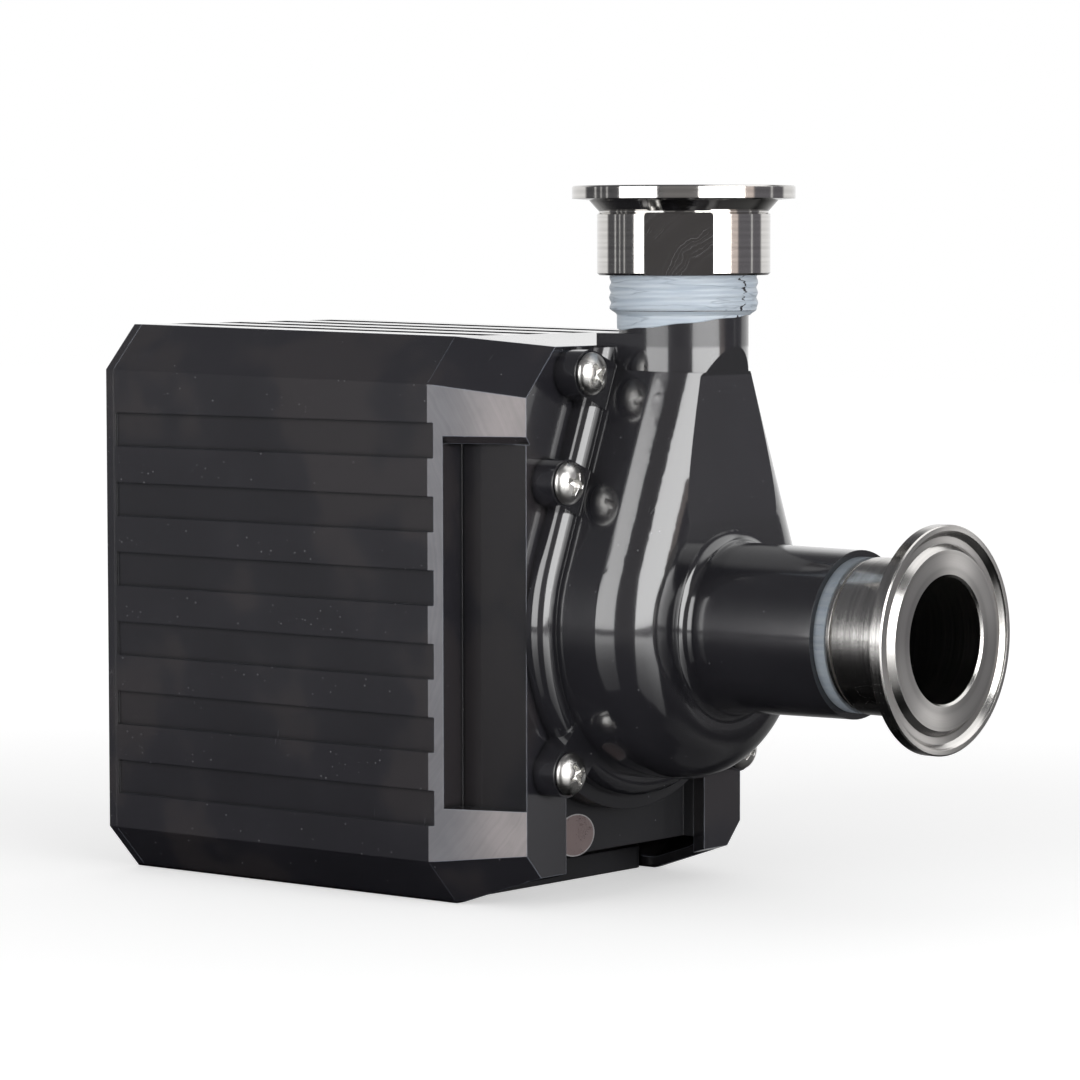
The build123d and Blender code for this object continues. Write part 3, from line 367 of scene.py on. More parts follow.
def make_painted_edge_light_and_shade():
    """Painted highlights along outer edges, where the rounded surface turns away, broken into patches, and
    painted shade in inner corners.
    """
    group, entry, leave = new_effect(
        "Painted edge highlights and crevice shade",
        [("Radius", "NodeSocketFloat", 0.0003), ("Patchiness", "NodeSocketFloat", 0.5)],
        [("Edges", "NodeSocketFloat"), ("Painted crevice shade", "NodeSocketFloat")],
    )
    rounded = add_node(group, "ShaderNodeBevel", samples=4)
    group.links.new(entry["Radius"], rounded.inputs["Radius"])
    flat = add_node(group, "ShaderNodeNewGeometry").outputs["True Normal"]
    agreement = combine_vectors(group, "DOT_PRODUCT", rounded.outputs["Normal"], flat)
    turned = remap(group, agreement, 0.996, 0.97)
    corner = add_node(group, "ShaderNodeAmbientOcclusion", samples=3)
    corner.inputs["Distance"].default_value = 0.0011
    open_side = remap(group, corner.outputs["AO"], 0.78, 0.92)
    # Painted shade: the crevice mask darkens inner corners where the ambient occlusion is low.
    group.links.new(remap(group, corner.outputs["AO"], 0.84, 0.6), leave["Painted crevice shade"])
    patches = add_node(group, "ShaderNodeTexNoise")
    patches.inputs["Scale"].default_value = 260.0
    group.links.new(object_place(group), patches.inputs["Vector"])
    kept = remap(group, patches.outputs["Fac"], 0.35, 0.6)
    share = blend_values(group, entry["Patchiness"], 1.0, kept)
    # Painted highlight: pale edges where the bevelled normal turns away from the flat one.
    painted_edge_highlight = calculate(group, "MULTIPLY", calculate(group, "MULTIPLY", turned, open_side), share)
    group.links.new(painted_edge_highlight, leave["Edges"])
    return group


def make_milled_arcs():
    """Shallow arcs that a cutter leaves across a flat, broken up into patches."""
    group, entry, leave = new_effect(
        "Milled arcs",
        [
            ("Centre", "NodeSocketVector", (0.0, 0.0, 0.0)),
            ("Spacing", "NodeSocketFloat", 0.0006),
            ("Bend", "NodeSocketFloat", 0.0004),
        ],
        [("Arcs", "NodeSocketFloat"), ("Patches", "NodeSocketFloat")],
    )
    place = object_place(group)
    wander = add_node(group, "ShaderNodeTexNoise")
    wander.inputs["Scale"].default_value = 220.0
    wander.inputs["Detail"].default_value = 4.0
    group.links.new(place, wander.inputs["Vector"])
    distance = combine_vectors(group, "LENGTH", combine_vectors(group, "SUBTRACT", place, entry["Centre"]))
    moved = calculate(group, "MULTIPLY_ADD", wander.outputs["Fac"], entry["Bend"], distance)
    lines = add_node(group, "ShaderNodeTexNoise", noise_dimensions="1D")
    lines.inputs["Scale"].default_value = 1.0
    lines.inputs["Detail"].default_value = 3.0
    group.links.new(calculate(group, "DIVIDE", moved, entry["Spacing"]), lines.inputs["W"])
    patches = add_node(group, "ShaderNodeTexNoise")
    patches.inputs["Scale"].default_value = 110.0
    patches.inputs["Detail"].default_value = 3.0
    group.links.new(place, patches.inputs["Vector"])
    group.links.new(lines.outputs["Fac"], leave["Arcs"])
    group.links.new(remap(group, patches.outputs["Fac"], 0.38, 0.62), leave["Patches"])
    return group


dust_specks = make_dust_specks()
fine_scratches = make_fine_scratches()
moulded_grain = make_moulded_grain()
turned_rings = make_turned_rings()
painted_edge_light_and_shade = make_painted_edge_light_and_shade()
milled_arcs = make_milled_arcs()


def place_effect(tree, group, **values):
    """Put a shared effect in a material. Keywords use _ for the spaces in socket names."""
    node = add_node(tree, "ShaderNodeGroup", node_tree=group)
    for name, value in values.items():
        feed(tree, value, node.inputs[name.replace("_", " ").capitalize()])
    return node.outputs


def new_material(name, colour, roughness, metallic=0.0):
    material = bpy.data.materials.new(name)
    material.use_nodes = True
    material.diffuse_color = (*colour, 1.0)
    tree = material.node_tree
    shader = tree.nodes["Principled BSDF"]
    shader.inputs["Base Color"].default_value = (*colour, 1.0)
    shader.inputs["Roughness"].default_value = roughness
    shader.inputs["Metallic"].default_value = metallic
    return material, tree, shader


def tones(colour, darker, lighter):
    """A darker and a lighter tone of a colour, for the two ends of a blend."""
    return [(*[min(shade * factor, 1.0) for shade in colour], 1.0) for factor in (darker, lighter)]


def raise_surface(tree, shader, height, distance, rounding=0.0):
    """Bump the surface, over edges that are rounded by a small radius."""
    bump = add_node(tree, "ShaderNodeBump")
    bump.inputs["Distance"].default_value = distance
    bump.inputs["Strength"].default_value = 1.0
    feed(tree, height, bump.inputs["Height"])
    if rounding > 0:
        edges = add_node(tree, "ShaderNodeBevel", samples=4)
        edges.inputs["Radius"].default_value = rounding
        tree.links.new(edges.outputs["Normal"], bump.inputs["Normal"])
    tree.links.new(bump.outputs["Normal"], shader.inputs["Normal"])


def moulded_plastic(
    name,
    colour,
    roughness,
    dust=0.05,
    dust_size=0.1,
    dust_shade=0.3,
    scratches=0.32,
    scratch_shade=0.07,
    coat=0.0,
    grain=0.00002,
    rounding=0.0004,
):
    """Moulded black plastic with dust, hairlines and a patchy sheen."""
    material, tree, shader = new_material(name, colour, roughness)
    skin = place_effect(tree, moulded_grain)
    specks = place_effect(tree, dust_specks, amount=dust, size=dust_size)["Specks"]
    hairs = place_effect(tree, fine_scratches, amount=scratches)["Scratches"]
    marks = calculate(tree, "MULTIPLY", hairs, scratch_shade)
    pale = calculate(tree, "MAXIMUM", calculate(tree, "MULTIPLY", specks, dust_shade), marks)
    tinted = blend_colours(tree, skin["Sheen"], *tones(colour, 0.88, 1.14))
    feed(tree, blend_colours(tree, pale, tinted, dust_colour), shader.inputs["Base Color"])
    sheen = remap(tree, skin["Sheen"], 0.0, 1.0, roughness * 0.95, roughness * 1.06)
    feed(tree, blend_values(tree, pale, sheen, 0.6), shader.inputs["Roughness"])
    shader.inputs["Coat Weight"].default_value = coat
    shader.inputs["Coat Roughness"].default_value = 0.05
    shader.inputs["Coat IOR"].default_value = 1.6
    raise_surface(tree, shader, skin["Height"], grain, rounding=rounding)
    return material


def cover_plastic():
    """The cover's plastic: milled front facets whose pale grey skin is partly painted reflection and grows
    paler towards the front edge, painted highlights on outer edges, painted shade in crevices, grooves and
    the recess, and painted sheen patches.
    """
    material = moulded_plastic("cover plastic", (0.0165, 0.016, 0.02), 0.22, dust=0.15, dust_size=0.08)
    tree = material.node_tree
    shader = tree.nodes["Principled BSDF"]
    facing = add_node(tree, "ShaderNodeSeparateXYZ")
    tree.links.new(add_node(tree, "ShaderNodeTexCoord").outputs["Normal"], facing.inputs["Vector"])
    place = add_node(tree, "ShaderNodeSeparateXYZ")
    tree.links.new(object_place(tree), place.inputs["Vector"])
    sideways = calculate(tree, "GREATER_THAN", calculate(tree, "ABSOLUTE", facing.outputs["X"]), 0.88)
    forwards = calculate(tree, "LESS_THAN", facing.outputs["Y"], -0.2)
    facet = calculate(tree, "MULTIPLY", sideways, forwards)
    marks = place_effect(tree, milled_arcs, centre=(-0.045, 0.02, 0.075), spacing=0.0009, bend=0.0015)
    brushed = calculate(tree, "MULTIPLY", marks["Arcs"], 0.7)
    brushed = calculate(tree, "MULTIPLY_ADD", marks["Patches"], 0.3, brushed)
    # The facets' pale grey is partly painted reflection of the left lamp; it also grows paler towards the
    # front edge.
    front_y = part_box("motor_cover")[0].y
    forward = remap(tree, place.outputs["Y"], front_y + facet_pale_start, front_y + facet_pale_end)
    dull = blend_colours(tree, brushed, (0.078, 0.077, 0.086, 1.0), (0.132, 0.13, 0.142, 1.0))
    bright = blend_colours(tree, brushed, (0.165, 0.15, 0.152, 1.0), (0.275, 0.248, 0.248, 1.0))
    skin = blend_colours(tree, forward, dull, bright)
    smooth_colour = shader.inputs["Base Color"].links[0].from_socket
    # Painted sheen: broad brownish patches, like the lighter gleam that varies from rib to rib.
    sheen_patches = place_effect(tree, moulded_grain)["Sheen"]
    painted_sheen = calculate(tree, "MULTIPLY", remap(tree, sheen_patches, 0.5, 0.85), 0.5)
    smooth_colour = blend_colours(tree, painted_sheen, smooth_colour, (0.034, 0.029, 0.029, 1.0))
    # Painted highlights on outer edges and painted shade in crevices, from the shared group.
    worn = place_effect(tree, painted_edge_light_and_shade, radius=0.0003, patchiness=0.25)
    # Painted shade: crevices are darkened towards black, and their coat is taken away.
    painted_crevice_shade = calculate(tree, "MULTIPLY", worn["Painted crevice shade"], 0.85)
    smooth_colour = blend_colours(tree, painted_crevice_shade, smooth_colour, (0.002, 0.002, 0.0022, 1.0))
    # Painted shade: on the sides, the recess floor and the groove floors are darkened towards black.
    side_wall = cad_bounds[1][0]
    outwards = calculate(tree, "ABSOLUTE", place.outputs["X"])
    deep = calculate(tree, "LESS_THAN", outwards, side_wall - recess_floor_inset)
    grooved = calculate(tree, "LESS_THAN", outwards, side_wall - groove_floor_inset)
    shaded = calculate(tree, "MULTIPLY_ADD", grooved, 0.15, calculate(tree, "MULTIPLY", deep, 0.3))
    shaded = calculate(tree, "MULTIPLY", shaded, sideways)
    smooth_colour = blend_colours(tree, shaded, smooth_colour, (0.0, 0.0, 0.0, 1.0))
    milled_colour = blend_colours(tree, facet, smooth_colour, skin)
    # Painted highlight: outer edges, except on the outer side wall, are blended towards a pale bluish grey.
    inside_wall = calculate(tree, "LESS_THAN", outwards, side_wall - side_wall_inset)
    painted_edge_highlight = calculate(tree, "MULTIPLY", calculate(tree, "MULTIPLY", worn["Edges"], inside_wall), 0.75)
    painted_highlight_colour = blend_colours(tree, painted_edge_highlight, milled_colour, (0.24, 0.26, 0.31, 1.0))
    feed(tree, painted_highlight_colour, shader.inputs["Base Color"])
    smooth = shader.inputs["Roughness"].links[0].from_socket
    matt = remap(tree, brushed, 0.0, 1.0, 0.36, 0.48)
    feed(tree, blend_values(tree, facet, smooth, matt), shader.inputs["Roughness"])
    glossy = calculate(tree, "SUBTRACT", 1.0, calculate(tree, "MAXIMUM", facet, painted_crevice_shade))
    feed(tree, glossy, shader.inputs["Coat Weight"])
    shader.inputs["Coat Roughness"].default_value = 0.05
    bump = next(node for node in tree.nodes if node.bl_idname == "ShaderNodeBump")
    moulded_height = bump.inputs["Height"].links[0].from_socket
    feed(tree, blend_values(tree, facet, moulded_height, brushed), bump.inputs["Height"])
    return material


def casing_plastic():
    """The pump head's shiny plastic, more satin where the neck and the nozzle were turned."""
    material = moulded_plastic(
        "casing plastic",
        (0.0145, 0.0142, 0.017),
        0.16,
        dust=0.16,
        dust_size=0.08,
        scratches=0.3,
        scratch_shade=0.05,
        coat=1.0,
        rounding=0.00025,
    )
    tree = material.node_tree
    shader = tree.nodes["Principled BSDF"]
    shader.inputs["Coat Roughness"].default_value = 0.08
    place = add_node(tree, "ShaderNodeSeparateXYZ")
    tree.links.new(object_place(tree), place.inputs["Vector"])
    neck_height = pump_axis.z + neck_satin_height
    on_neck = remap(tree, place.outputs["Z"], neck_height, neck_height + 0.001)
    nozzle_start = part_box("front_casing")[0].y + nozzle_satin_reach
    on_nozzle = remap(tree, place.outputs["Y"], nozzle_start, nozzle_start - 0.003)
    satin = calculate(tree, "MAXIMUM", on_neck, calculate(tree, "MULTIPLY", on_nozzle, 0.3))
    feed(tree, remap(tree, satin, 0.0, 1.0, 1.0, 0.4, smooth=False), shader.inputs["Coat Weight"])
    smooth = shader.inputs["Roughness"].links[0].from_socket
    feed(tree, blend_values(tree, satin, smooth, 0.22), shader.inputs["Roughness"])
    return material


def turned_steel(name, colour, roughness, centre, axis, stretch=0.0, face_roughness=None):
    """Stainless steel turned on a lathe: rings in its height, its shade and its stretched sheen."""
    material, tree, shader = new_material(name, colour, roughness, metallic=1.0)
    marks = place_effect(tree, turned_rings, centre=tuple(centre), axis=axis)
    drawn_out = (150.0, 150.0, 400.0)
    hairs = place_effect(tree, fine_scratches, stretch=drawn_out, width=0.008, amount=0.36)["Scratches"]
    shade = blend_colours(tree, remap(tree, marks["Streaks"], 0.3, 0.7), *tones(colour, 0.86, 1.08))
    marked = calculate(tree, "MULTIPLY", hairs, 0.25)
    feed(tree, blend_colours(tree, marked, shade, (0.3, 0.29, 0.28, 1.0)), shader.inputs["Base Color"])
    polish = remap(tree, marks["Rings"], 0.35, 0.65, roughness * 0.8, roughness * 1.25)
    if face_roughness:
        facing = add_node(tree, "ShaderNodeTexCoord").outputs["Normal"]
        square = calculate(tree, "ABSOLUTE", combine_vectors(tree, "DOT_PRODUCT", facing, axis))
        faced = remap(tree, marks["Rings"], 0.35, 0.65, face_roughness * 0.92, face_roughness * 1.08)
        polish = blend_values(tree, calculate(tree, "GREATER_THAN", square, 0.95), polish, faced)
    feed(tree, calculate(tree, "MULTIPLY_ADD", hairs, 0.1, polish), shader.inputs["Roughness"])
    shader.inputs["Anisotropic"].default_value = stretch
    if stretch:
        around = add_node(tree, "ShaderNodeTangent", direction_type="RADIAL", axis="Z" if axis[2] else "Y")
        tree.links.new(around.outputs["Tangent"], shader.inputs["Tangent"])
    raise_surface(tree, shader, marks["Rings"], 0.0000035, rounding=0.0002)
    return material


def wrench_flat_steel(name, colour, roughness, centre, axis):
    """Turned steel whose two wrench flats are darker, with arc-shaped scratches."""
    material = turned_steel(name, colour, roughness, centre, axis)
    tree = material.node_tree
    shader = tree.nodes["Principled BSDF"]
    facing = add_node(tree, "ShaderNodeTexCoord").outputs["Normal"]
    square = combine_vectors(tree, "DOT_PRODUCT", facing, tuple(light_direction(wrench_flat_angle)))
    level = calculate(tree, "GREATER_THAN", calculate(tree, "ABSOLUTE", square), wrench_flat_level)
    from_axis = combine_vectors(tree, "SUBTRACT", object_place(tree), tuple(centre))
    flat_place = combine_vectors(tree, "MULTIPLY", from_axis, (1.0, 1.0, 0.0))
    near = calculate(tree, "LESS_THAN", combine_vectors(tree, "LENGTH", flat_place), wrench_flat_reach)
    flat = calculate(tree, "MULTIPLY", level, near)
    beside = light_direction(wrench_flat_angle) * 0.018 + light_direction(wrench_flat_angle + 90) * 0.013
    middle = Vector(centre) + Vector((0.0, 0.0, ferrule_low.z - 0.006)) + beside
    marks = place_effect(tree, milled_arcs, centre=tuple(middle), spacing=0.0002, bend=0.004)
    scored = remap(tree, marks["Arcs"], 0.56, 0.74)
    scored = calculate(tree, "MULTIPLY", scored, marks["Patches"])
    turned_colour = shader.inputs["Base Color"].links[0].from_socket
    scored_colour = blend_colours(tree, scored, (0.2, 0.192, 0.19, 1.0), (0.36, 0.355, 0.36, 1.0))
    feed(tree, blend_colours(tree, flat, turned_colour, scored_colour), shader.inputs["Base Color"])
    turned_polish = shader.inputs["Roughness"].links[0].from_socket
    scored_polish = remap(tree, scored, 0.0, 1.0, 0.16, 0.3)
    feed(tree, blend_values(tree, flat, turned_polish, scored_polish), shader.inputs["Roughness"])
    return material


def cast_metal(name, colour, roughness):
    """Ground, plated or cast metal of the screws and the parts inside, with a fine tooth."""
    material, tree, shader = new_material(name, colour, roughness, metallic=1.0)
    skin = place_effect(tree, moulded_grain, grain_scale=1800.0, wave_scale=200.0, wave_share=0.3)
    hairs = place_effect(tree, fine_scratches, amount=0.45)["Scratches"]
    feed(tree, blend_colours(tree, skin["Sheen"], *tones(colour, 0.85, 1.1)), shader.inputs["Base Color"])
    worn = remap(tree, skin["Sheen"], 0.0, 1.0, roughness * 0.85, roughness * 1.15)
    feed(tree, calculate(tree, "MULTIPLY_ADD", hairs, 0.1, worn), shader.inputs["Roughness"])
    raise_surface(tree, shader, skin["Height"], 0.00003, rounding=0.0002)
    return material


def laminated_steel():
    """Stacked sheets of a motor core: thin dark lines across the axis."""
    material, tree, shader = new_material("laminated steel", (0.24, 0.24, 0.25), 0.4, metallic=0.9)
    sheets = add_node(tree, "ShaderNodeTexWave", bands_direction="Y")
    sheets.inputs["Scale"].default_value = 300.0
    tree.links.new(object_place(tree), sheets.inputs["Vector"])
    skin = place_effect(tree, moulded_grain)
    lines = blend_colours(tree, sheets.outputs["Fac"], (0.1, 0.1, 0.105, 1.0), (0.3, 0.3, 0.31, 1.0))
    feed(tree, lines, shader.inputs["Base Color"])
    feed(tree, remap(tree, skin["Sheen"], 0.0, 1.0, 0.35, 0.5), shader.inputs["Roughness"])
    raise_surface(tree, shader, sheets.outputs["Fac"], 0.0001)
    return material


def enamelled_wire():
    """Varnished copper wire of the end turns, wound around the pump axis."""
    material, tree, shader = new_material("enamelled wire", (0.42, 0.13, 0.035), 0.3, metallic=0.7)
    marks = place_effect(tree, turned_rings, centre=tuple(pump_axis), axis=(0.0, 1.0, 0.0), frequency=1400.0)
    wires = blend_colours(tree, marks["Rings"], (0.2, 0.05, 0.015, 1.0), (0.62, 0.25, 0.08, 1.0))
    feed(tree, wires, shader.inputs["Base Color"])
    feed(tree, remap(tree, marks["Streaks"], 0.3, 0.7, 0.22, 0.4), shader.inputs["Roughness"])
    raise_surface(tree, shader, marks["Rings"], 0.0004)
    return material


def foil_label():
    """Bare foil of the round label, with a faint rosy tint and rubbed patches."""
    material, tree, shader = new_material("foil label", (0.52, 0.42, 0.41), 0.34, metallic=0.85)
    skin = place_effect(tree, moulded_grain, grain_scale=5200.0, wave_scale=700.0)
    drawn_out = (700.0, 700.0, 2100.0)
    hairs = place_effect(tree, fine_scratches, stretch=drawn_out, width=0.03, amount=0.5)["Scratches"]
    tint = blend_colours(tree, skin["Sheen"], (0.44, 0.35, 0.34, 1.0), (0.6, 0.5, 0.48, 1.0))
    worn = blend_colours(tree, calculate(tree, "MULTIPLY", hairs, 0.5), tint, (0.2, 0.15, 0.14, 1.0))
    low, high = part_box("inspection_label")
    from_middle = combine_vectors(tree, "SUBTRACT", object_place(tree), tuple((low + high) / 2))
    half_sizes = ((high.x - low.x) / 2, 1.0, (high.z - low.z) / 2)
    outwards = combine_vectors(tree, "LENGTH", combine_vectors(tree, "DIVIDE", from_middle, half_sizes))
    rim = remap(tree, outwards, foil_rim_start, foil_rim_end)
    feed(tree, blend_colours(tree, rim, worn, (0.78, 0.76, 0.76, 1.0)), shader.inputs["Base Color"])
    feed(tree, remap(tree, skin["Height"], 0.3, 0.7, 0.26, 0.42), shader.inputs["Roughness"])
    raise_surface(tree, shader, skin["Height"], 0.00003)
    return material


def thread_tape(name, shade, splits=False):
    """Stretched thread tape: bluish white and darkened as a whole by shade, with long soft creases darkened
    by painted shade and, where asked, a dark split.
    """
    material, tree, shader = new_material(name, (0.60, 0.68, 0.76), 0.42)
    place = object_place(tree)
    flow = add_node(tree, "ShaderNodeTexNoise")
    flow.inputs["Scale"].default_value = 1.0
    flow.inputs["Detail"].default_value = 3.0
    tree.links.new(combine_vectors(tree, "MULTIPLY", place, (70.0, 70.0, 1300.0)), flow.inputs["Vector"])
    creases = add_node(tree, "ShaderNodeTexNoise")
    creases.inputs["Scale"].default_value = 1.0
    creases.inputs["Detail"].default_value = 2.0
    tree.links.new(combine_vectors(tree, "MULTIPLY", place, (45.0, 45.0, 620.0)), creases.inputs["Vector"])
    off_crease = calculate(tree, "ABSOLUTE", calculate(tree, "SUBTRACT", creases.outputs["Fac"], 0.5))
    crease = remap(tree, off_crease, 0.0, 0.022, 1.0, 0.0)
    soft = remap(tree, flow.outputs["Fac"], 0.3, 0.72)
    dull = (0.56 * shade, 0.64 * shade, 0.73 * shade, 1.0)
    clear = (0.68 * shade, 0.75 * shade, 0.82 * shade, 1.0)
    tint = blend_colours(tree, soft, dull, clear)
    # Painted shade: the creases are darkened towards a dark blue grey.
    tint = blend_colours(tree, calculate(tree, "MULTIPLY", crease, 0.4), tint, (0.22, 0.26, 0.32, 1.0))
    if splits:
        parts = add_node(tree, "ShaderNodeSeparateXYZ")
        around = combine_vectors(tree, "SUBTRACT", place, tuple(outlet_axis))
        tree.links.new(around, parts.inputs["Vector"])
        angle = calculate(tree, "ARCTAN2", parts.outputs["Y"], parts.outputs["X"])
        zigzag = add_node(tree, "ShaderNodeTexNoise")
        zigzag.inputs["Scale"].default_value = 1.0
        zigzag.inputs["Detail"].default_value = 3.0
        squeezed = combine_vectors(tree, "MULTIPLY", place, (60.0, 60.0, 620.0))
        tree.links.new(squeezed, zigzag.inputs["Vector"])
        wander = remap(tree, zigzag.outputs["Fac"], 0.3, 0.7, -0.11, 0.11, smooth=False)
        wandered = calculate(tree, "ADD", angle, wander)
        off_line = calculate(tree, "SUBTRACT", wandered, radians(tape_split_angle))
        opening = add_node(tree, "ShaderNodeTexNoise")
        opening.inputs["Scale"].default_value = 520.0
        tree.links.new(place, opening.inputs["Vector"])
        width = remap(tree, opening.outputs["Fac"], 0.42, 0.7, 0.0, 0.03)
        torn = calculate(tree, "LESS_THAN", calculate(tree, "ABSOLUTE", off_line), width)
        tint = blend_colours(tree, torn, tint, (0.03, 0.03, 0.035, 1.0))
    feed(tree, tint, shader.inputs["Base Color"])
    feed(tree, remap(tree, soft, 0.0, 1.0, 0.36, 0.48), shader.inputs["Roughness"])
    shader.inputs["Specular IOR Level"].default_value = 0.3
    shader.inputs["Subsurface Weight"].default_value = 0.12
    shader.inputs["Subsurface Radius"].default_value = (0.0006, 0.0006, 0.0007)
    wrinkles = calculate(tree, "SUBTRACT", flow.outputs["Fac"], calculate(tree, "MULTIPLY", crease, 0.8))
    raise_surface(tree, shader, wrinkles, 0.00009)
    return material


def smooth_ceramic(name, colour, roughness):
    """Ground ceramic or slick plastic, with faint clouds in its shade."""
    material, tree, shader = new_material(name, colour, roughness)
    skin = place_effect(tree, moulded_grain, grain_scale=3000.0)
    feed(tree, blend_colours(tree, skin["Sheen"], *tones(colour, 0.9, 1.04)), shader.inputs["Base Color"])
    polish = remap(tree, skin["Height"], 0.3, 0.7, roughness * 0.8, roughness * 1.2)
    feed(tree, polish, shader.inputs["Roughness"])
    raise_surface(tree, shader, skin["Height"], 0.00001)
    return material


def paint(material, *names):
    for name in names:
        mesh = nodes[name].data
        mesh.materials.clear()
        mesh.materials.append(material)


def paint_parts():
    along_pump = (0.0, 1.0, 0.0)
    paint(cover_plastic(), "motor_cover", "rear_panel")
    paint(casing_plastic(), "front_casing")
    bracket = moulded_plastic("bracket plastic", (0.016, 0.016, 0.018), 0.36, dust=0.07, scratches=0.3)
    paint(bracket, "motor_bracket", "base_plate")
    inner = moulded_plastic("inner plastic", (0.035, 0.035, 0.037), 0.4, dust=0.0, scratches=0.3)
    paint(inner, "rear_casing", "impeller", "driven_magnet_capsule", "cooling_fan")
    rubber = moulded_plastic("seal rubber", (0.015, 0.015, 0.015), 0.6, dust=0.02, scratches=0.2)
    paint(rubber, "casing_o_ring", "cable_bushing")
    steel = (0.60, 0.585, 0.565)
    outlet_steel = wrench_flat_steel("outlet ferrule steel", steel, 0.08, outlet_axis, (0.0, 0.0, 1.0))
    paint(outlet_steel, "outlet_ferrule")
    inlet_steel = turned_steel("inlet ferrule steel", steel, 0.15, pump_axis, along_pump, 0.8, 0.36)
    paint(inlet_steel, "inlet_ferrule")
    paint(screw_steel, "rear_panel_screws", "bracket_screws")
    bright = turned_steel("ground steel", (0.52, 0.52, 0.52), 0.2, pump_axis, along_pump)
    paint(bright, "motor_shaft", "front_bearing_outer", "front_bearing_inner")
    paint(bright, "rear_bearing_outer", "rear_bearing_inner")
    plated = cast_metal("plated steel", (0.45, 0.46, 0.47), 0.35)
    paint(plated, "drive_magnet_cup", "through_bolts", "coupling_set_screw")
    paint(cast_metal("cast aluminium", (0.58, 0.58, 0.59), 0.45), "rear_end_bell")
    paint(laminated_steel(), "stator_core", "rotor_core")
    paint(enamelled_wire(), "stator_windings")
    paint(smooth_ceramic("sintered ferrite", (0.09, 0.09, 0.1), 0.5), "drive_magnets", "driven_magnets")
    ceramic = smooth_ceramic("white ceramic", (0.82, 0.8, 0.75), 0.25)
    paint(ceramic, "pump_spindle", "front_thrust_ring", "rear_thrust_washer")
    paint(smooth_ceramic("slick white plastic", (0.8, 0.8, 0.77), 0.35), "mouth_ring", "impeller_bush")
    paint(smooth_ceramic("capacitor case", (0.78, 0.78, 0.75), 0.4), "run_capacitor", "terminal_block")
    paint(foil_label(), "inspection_label")
    paint(thread_tape("outlet tape", 0.74, splits=True), "outlet_thread_tape")
    # The inlet tape is darkened to 0.4 as painted shade, since it sits in a recess between the casing's end
    # and the ferrule.
    paint(thread_tape("inlet tape", 0.4), "inlet_thread_tape")


def add_mesh(name, work, material):
    """Turn a bmesh into a smooth piece that rides on the housing."""
    mesh = bpy.data.meshes.new(name)
    work.to_mesh(mesh)
    work.free()
    mesh.shade_smooth()
    mesh.materials.append(material)
    piece = bpy.data.objects.new(name, mesh)
    scene.collection.objects.link(piece)
    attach(piece, "housing")
    return piece


def cross_depth(across, along):
    """Depth of the cross recess at a place on the screw's head: four arms that run out upwards."""
    narrow = min(abs(across), abs(along))
    reach = max(abs(across), abs(along))
    run = min(reach / screw_cross_reach, 1.0)
    half_width = screw_cross_half_width + screw_cross_flare * (1 - run)
    side = min(max((half_width - narrow) / screw_cross_wall, 0.0), 1.0)
    end = min(max((screw_cross_reach - reach) / (2 * screw_cross_wall), 0.0), 1.0)
    wall = min(side, end)
    return screw_cross_depth * (1 - 0.55 * run) * wall * wall * (3 - 2 * wall)


def head_height(radius):
    """Height of the pan head's dome over its seat."""
    rim = min(radius / screw_head_radius, 1.0)
    dome = (1 - rim ** 2.3) ** 0.62
    return screw_edge_height + (screw_head_height - screw_edge_height) * dome


def draw_screw(work, head_centre, shank_end, turn):
    """One pan head screw that looks towards -Y, from its dome down to the tip of its shank."""
    around, dome_rows = 160, 56
    rows = []
    for row in range(1, dome_rows + 1):
        radius = screw_head_radius * row / dome_rows
        ring = []
        for step in range(around):
            angle = 2 * pi * step / around
            across = radius * cos(angle - radians(turn))
            along = radius * sin(angle - radians(turn))
            height = max(head_height(radius) - cross_depth(across, along), screw_edge_height)
            ring.append((radius, height, angle))
        rows.append(ring)
    reach = shank_end - head_centre.y
    profile = [(screw_head_radius, screw_edge_round), (screw_head_radius - screw_edge_round, 0.0)]
    profile.append((screw_shank_radius, 0.0))
    turns = int(reach / screw_thread_pitch) - 1
    for index in range(turns):
        start = -index * screw_thread_pitch
        profile.append((screw_shank_radius, start - 0.25 * screw_thread_pitch))
        profile.append((screw_shank_radius - screw_thread_height, start - 0.75 * screw_thread_pitch))
    profile.append((screw_shank_radius - 2 * screw_thread_height, -reach))
    for radius, height in profile:
        rows.append([(radius, height, 2 * pi * step / around) for step in range(around)])

    def point(radius, height, angle):
        return head_centre + Vector((radius * cos(angle), -height, radius * sin(angle)))

    tip = work.verts.new(point(0.0, head_height(0.0) - screw_cross_depth, 0.0))
    rings = [[work.verts.new(point(*place)) for place in ring] for ring in rows]
    end = work.verts.new(point(0.0, -reach, 0.0))
    for step in range(around):
        after = (step + 1) % around
        work.faces.new((tip, rings[0][step], rings[0][after]))
        work.faces.new((end, rings[-1][after], rings[-1][step]))
        for outer, inner in zip(rings[1:], rings):
            work.faces.new((inner[step], outer[step], outer[after], inner[after]))


def solid_boxes(name, gap):
    """Lowest and highest corners of each of a node's solids, which stand at least a gap apart."""
    boxes = []
    for vertex in nodes[name].data.vertices:
        place = vertex.co
        for low, high in boxes:
            if all(low[axis] - gap < place[axis] < high[axis] + gap for axis in (0, 2)):
                for axis in range(3):
                    low[axis] = min(low[axis], place[axis])
                    high[axis] = max(high[axis], place[axis])
                break
        else:
            boxes.append((place.copy(), place.copy()))
    return boxes


